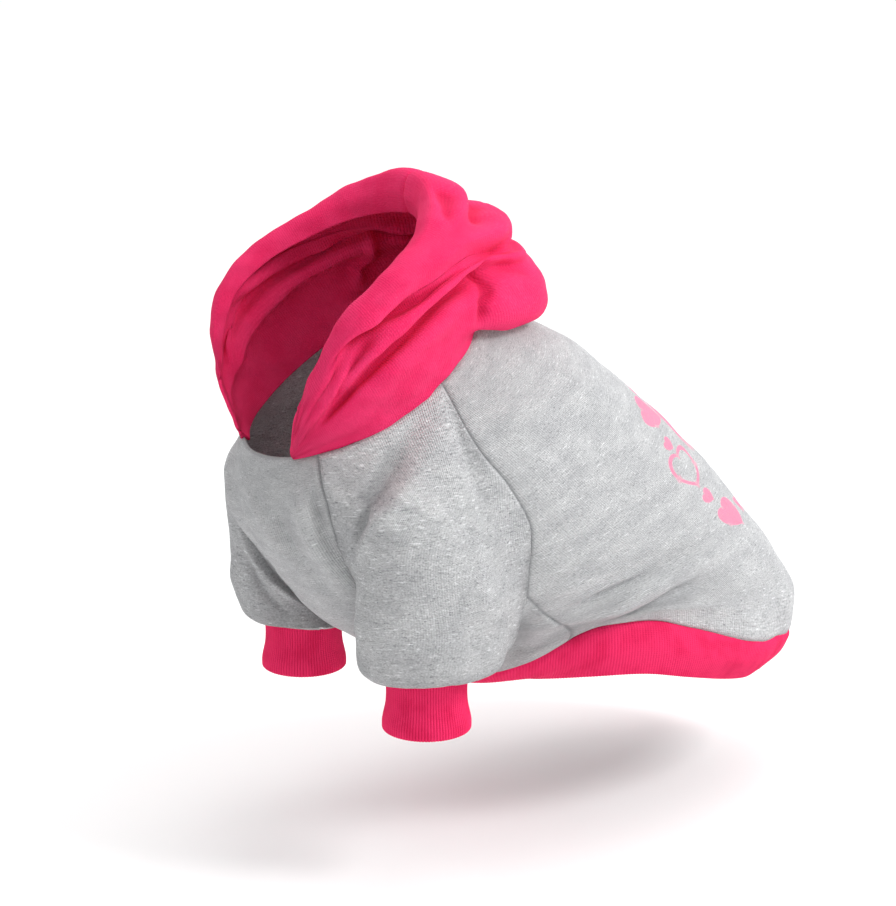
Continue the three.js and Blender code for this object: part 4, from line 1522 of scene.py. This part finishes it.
@dataclass(frozen=True)
class PinkRib:
    """Pink rib, with painted shade in the grooves between the ribs."""

    name: str = "pink_rib"
    pink: Colour = (0.830, 0.027, 0.130, 1.0)
    # The deep colour is the painted shade of the grooves, and also a darker tone that varies at
    # random.
    deep: Colour = (0.600, 0.004, 0.060, 1.0)
    groove: float = 0.00044
    course: float = 0.0011
    bump_depth: float = 0.0002

    def make(self) -> bpy.types.Material:
        """Builds the material.

        Returns:
            The material.
        """
        graph = Graph(self.name)
        lift = graph.attribute("lift")
        hairs = graph.noise(graph.cloth(1200, 900), detail=3.0)
        clouds = graph.noise(graph.cloth(80, 80))
        # Painted shade: the grooves between the ribs darken towards the deep colour.
        colour = graph.layer(lift, -0.1 * self.groove, -self.groove, 0.8, self.pink, self.deep)
        colour = graph.layer(clouds, 0.60, 0.3, 0.45, colour, self.deep)
        place = graph.node("ShaderNodeSeparateXYZ", {0: graph.flat()})
        turns = graph.math("MULTIPLY", place.outputs[1], 2 * math.pi / self.course)
        courses = graph.math("SINE", turns)
        height = graph.math("MULTIPLY_ADD", hairs, 1.0, graph.math("MULTIPLY", courses, 0.25))
        return graph.finish(colour, 0.88, height, self.bump_depth, 0.05, (1.0, 0.3, 0.45, 1.0))


@dataclass(frozen=True)
class Studio:
    """The floor, the light and the camera."""

    floor_height: float = -0.297
    floor_size: float = 12.0
    azimuth: float = -35.0
    elevation: float = 15.0
    distance: float = 1.5
    metres_per_pixel: float = 0.000551
    frame_width: int = 896
    target: tuple[float, float, float] = (0.0235, 0.0, -0.0920)
    target_pixel: tuple[float, float] = (512.0, 450.0)
    middle_pixel: tuple[float, float] = (448.0, 453.0)
    sensor: float = 36.0
    bright_wall: tuple[float, float, float] = (0.80, 0.45, 0.40)
    wall_range: tuple[float, float, float, float] = (-0.7, 0.50, 0.48, 1.30)

    def build(self) -> None:
        """Sets up everything that isn't part of the garment."""
        bpy.context.scene.view_settings.view_transform = "Standard"
        self.floor()
        self.camera()
        self.lights()

    def floor(self) -> None:
        """Lays a plain pale floor."""
        half = self.floor_size / 2
        signs = np.array([(-1, -1), (1, -1), (1, 1), (-1, 1)])
        corners = np.column_stack([signs * half, np.full(len(signs), self.floor_height)])
        floor = put_mesh("studio_floor", corners, [[0, 1, 2, 3]])
        graph = Graph("pale_floor")
        place = graph.node("ShaderNodeTexCoord").outputs["Object"]
        clouds = graph.noise(place, scale=1.5)
        tone = graph.mix(clouds, (0.90, 0.90, 0.90, 1.0), (0.94, 0.94, 0.94, 1.0))
        graph.tree.links.new(tone, graph.shader.inputs["Base Color"])
        graph.shader.inputs["Roughness"].default_value = 0.8
        floor.data.materials.append(graph.material)

    def camera(self) -> None:
        """Stands the camera where the photograph was taken from.

        The target is seen at target_pixel, so the camera is moved sideways and up by the distance
        of that pixel from the middle one.
        """
        azimuth, elevation = math.radians(self.azimuth), math.radians(self.elevation)
        back = Vector((
            math.sin(azimuth) * math.cos(elevation),
            -math.cos(azimuth) * math.cos(elevation),
            math.sin(elevation),
        ))
        right = Vector((math.cos(azimuth), math.sin(azimuth), 0.0))
        up = back.cross(right)
        across = (self.middle_pixel[0] - self.target_pixel[0]) * self.metres_per_pixel
        rise = (self.target_pixel[1] - self.middle_pixel[1]) * self.metres_per_pixel
        place = Vector(self.target) + right * across + up * rise + back * self.distance
        lens = bpy.data.cameras.new("photo_camera")
        lens.sensor_fit = "HORIZONTAL"
        lens.sensor_width = self.sensor
        lens.lens = self.sensor * self.distance / (self.metres_per_pixel * self.frame_width)
        lens.clip_start = 0.05
        camera = bpy.data.objects.new("photo_camera", lens)
        camera.matrix_world = Matrix((
            (right.x, up.x, back.x, place.x),
            (right.y, up.y, back.y, place.y),
            (right.z, up.z, back.z, place.z),
            (0, 0, 0, 1),
        ))
        bpy.context.scene.collection.objects.link(camera)
        bpy.context.scene.camera = camera

    def lights(self) -> None:
        """Lights the room softly: a bright far wall, a dim near one and two large softboxes."""
        world = bpy.data.worlds.new("studio_room")
        world.use_nodes = True
        nodes, links = world.node_tree.nodes, world.node_tree.links
        place = nodes.new("ShaderNodeTexCoord")
        towards = nodes.new("ShaderNodeVectorMath")
        towards.operation = "DOT_PRODUCT"
        towards.inputs[1].default_value = Vector(self.bright_wall).normalized()
        strength = nodes.new("ShaderNodeMapRange")
        for socket, value in zip(("From Min", "From Max", "To Min", "To Max"), self.wall_range):
            strength.inputs[socket].default_value = value
        links.new(place.outputs["Generated"], towards.inputs[0])
        links.new(towards.outputs["Value"], strength.inputs["Value"])
        links.new(strength.outputs[0], nodes["Background"].inputs["Strength"])
        nodes["Background"].inputs["Color"].default_value = (1.0, 1.0, 1.0, 1.0)
        bpy.context.scene.world = world
        lamps = table(
            "x y z size power",
            (0.9, -1.2, 1.3, 0.7, 21.0),
            (0.1, 0.2, 1.9, 1.0, 6.0),
        )
        for row, (x, y, z, size, power) in enumerate(zip(*lamps.values()), 1):
            light = bpy.data.lights.new(f"softbox_{row}", "AREA")
            light.size = size
            light.energy = power
            lamp = bpy.data.objects.new(light.name, light)
            aim = Vector(self.target) - Vector((x, y, z))
            lamp.rotation_euler = aim.to_track_quat("-Z", "Y").to_euler()
            lamp.location = (x, y, z)
            bpy.context.scene.collection.objects.link(lamp)


class Held(Enum):
    """How a sheet of cloth is held in the worn garment."""

    DRAPED = "draped"
    FOLDED = "folded"
    STRETCHED = "stretched"


@dataclass(frozen=True)
class Cut:
    """The flat size that a sheet was cut to, in metres, with its area in square metres.

    sewn_to names the pieces that it hangs from or lies on.
    """

    width: float
    length: float
    area: float
    held: Held
    sewn_to: tuple[str, ...] = ()


@dataclass
class Sweatshirt:
    """The whole garment: it cuts the sheets, thickens them, sews them and dresses them."""

    body: Body = field(default_factory=Body)
    seams: Seams = field(default_factory=Seams)
    tailor: Tailor = field(default_factory=Tailor)
    fleece_ripples: tuple[Ripples, ...] = (
        Ripples((0.060, 0.060, 0.035), 0.0006, seed=3),
        Ripples((0.024, 0.024, 0.015), 0.00025, seed=5),
    )
    hood_ripples: tuple[Ripples, ...] = (
        Ripples((0.050, 0.050, 0.020), 0.0007, seed=11),
        Ripples((0.022, 0.022, 0.009), 0.0003, seed=13),
    )
    pucker: Ripples = Ripples((0.009, 0.009, 0.009), 0.00030, seed=8)
    pucker_reach: float = 0.004
    crease_reach: float = 0.005
    hearts: tuple[Heart, ...] = (
        Heart(0.0, 0.186, 0.036, 0.0, 0.17),
        Heart(0.0, 0.189, 0.017),
        *(
            Heart(side * across, along, size, side * turn, rim)
            for side in (-1, 1)
            for across, along, size, turn, rim in (
                (0.022, 0.140, 0.0060, 0.3, 0.0), (0.040, 0.150, 0.0125, 0.5, 0.0),
                (0.055, 0.169, 0.0050, 0.2, 0.0), (0.060, 0.189, 0.0150, -0.3, 0.20),
                (0.064, 0.213, 0.0055, 0.4, 0.0), (0.061, 0.234, 0.0110, 0.2, 0.0),
                (0.040, 0.239, 0.0060, -0.3, 0.0), (0.021, 0.247, 0.0100, 0.15, 0.0),
            )
        ),
    )

    def build(self) -> None:
        """Builds every piece and puts it in place of its CAD node."""
        panels = FleecePanels(self.body, self.seams)
        sleeves = [Sleeve(side, self.body, self.seams) for side in Side]
        sheets = [panels.back(), panels.chest(), *(sleeve.sleeve() for sleeve in sleeves)]
        normals = share_normals(sheets)
        nodes = ["back_panel", "chest_panel", "left_sleeve", "right_sleeve"]
        printed = MarlFleece("grey_marl_printed", print_hearts=self.hearts).make()
        plain = MarlFleece("grey_marl").make()
        level = MarlFleece("grey_marl_sleeves", level_flecks=True).make()
        for sheet, normal, node in zip(sheets, normals, nodes):
            lift = self.fleece_lift(sheet, FLEECE_CREASES[node])
            finish = {"back_panel": printed, "chest_panel": plain}.get(node, level)
            self.dress(self.tailor.solid(sheet, normal, lift), node, finish)
        rib = PinkRib().make()
        sheet, lift = HemBand(self.body).sheet()
        self.dress(self.tailor.solid(sheet, sheet.normals(), lift), "hem_band", rib)
        for sleeve in sleeves:
            sheet, lift = sleeve.cuff_sheet()
            self.dress(self.tailor.solid(sheet, sheet.normals(), lift), sleeve.name("cuff"),
                       rib)
        jersey = PinkJersey().make()
        hood = Hood(self.body, self.seams)
        halves = [hood.half(side) for side in Side]
        for sheet, normal, side in zip(halves, share_normals(halves), Side):
            lift = self.hood_lift(sheet)
            self.dress(self.tailor.solid(sheet, normal, lift), f"{side.name.lower()}_hood",
                       jersey)

    def fleece_lift(self, sheet: Sheet, creases: tuple[Crease, ...]) -> Array:
        """Gives the creases of a fleece panel.

        Its own creases fade out at the seams. Long soft ripples cover all the panels alike, and
        near a seam short ones across it pucker the cloth.

        Args:
            sheet: The panel.
            creases: Its own creases.

        Returns:
            The lift of each point in metres.
        """
        reach = np.min([sheet.edge_distance(edge) for edge in sheet.sewn_edges()], axis=0)
        near = np.exp(-(((reach - self.pucker_reach) / self.pucker_reach) ** 2))
        inside = 1 - np.exp(-((reach / self.crease_reach) ** 2))
        soft = sum(ripples.lift(sheet.points) for ripples in self.fleece_ripples)
        own = sum(crease.lift(sheet.flat) for crease in creases)
        return soft + self.pucker.lift(sheet.points) * near + own * inside

    def hood_lift(self, sheet: Sheet) -> Array:
        """Gives the creases of one half of the hood, with ripples that are longest along them.

        Args:
            sheet: One half of the hood.

        Returns:
            The lift of each point in metres.
        """
        soft = sum(ripples.lift(sheet.points) for ripples in self.hood_ripples)
        return soft + sum(crease.lift(sheet.flat) for crease in HOOD_CREASES)

    def dress(self, piece: bpy.types.Object, node: str,
              material: bpy.types.Material) -> None:
        """Gives a piece its material, puts it in place of a CAD node, hides the node and logs its
        faces.

        Args:
            piece: The piece.
            node: The CAD node that it stands for.
            material: The material.
        """
        piece.data.materials.append(material)
        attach(piece, "root")
        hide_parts(node)
        LOG.info("%s: %d faces", piece.name, len(piece.data.polygons))


def main() -> None:
    """Builds the studio and the garment."""
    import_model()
    Studio().build()
    Sweatshirt().build()


if __name__ == "__main__":
    logging.basicConfig(level=logging.INFO, format="%(message)s")
    main()
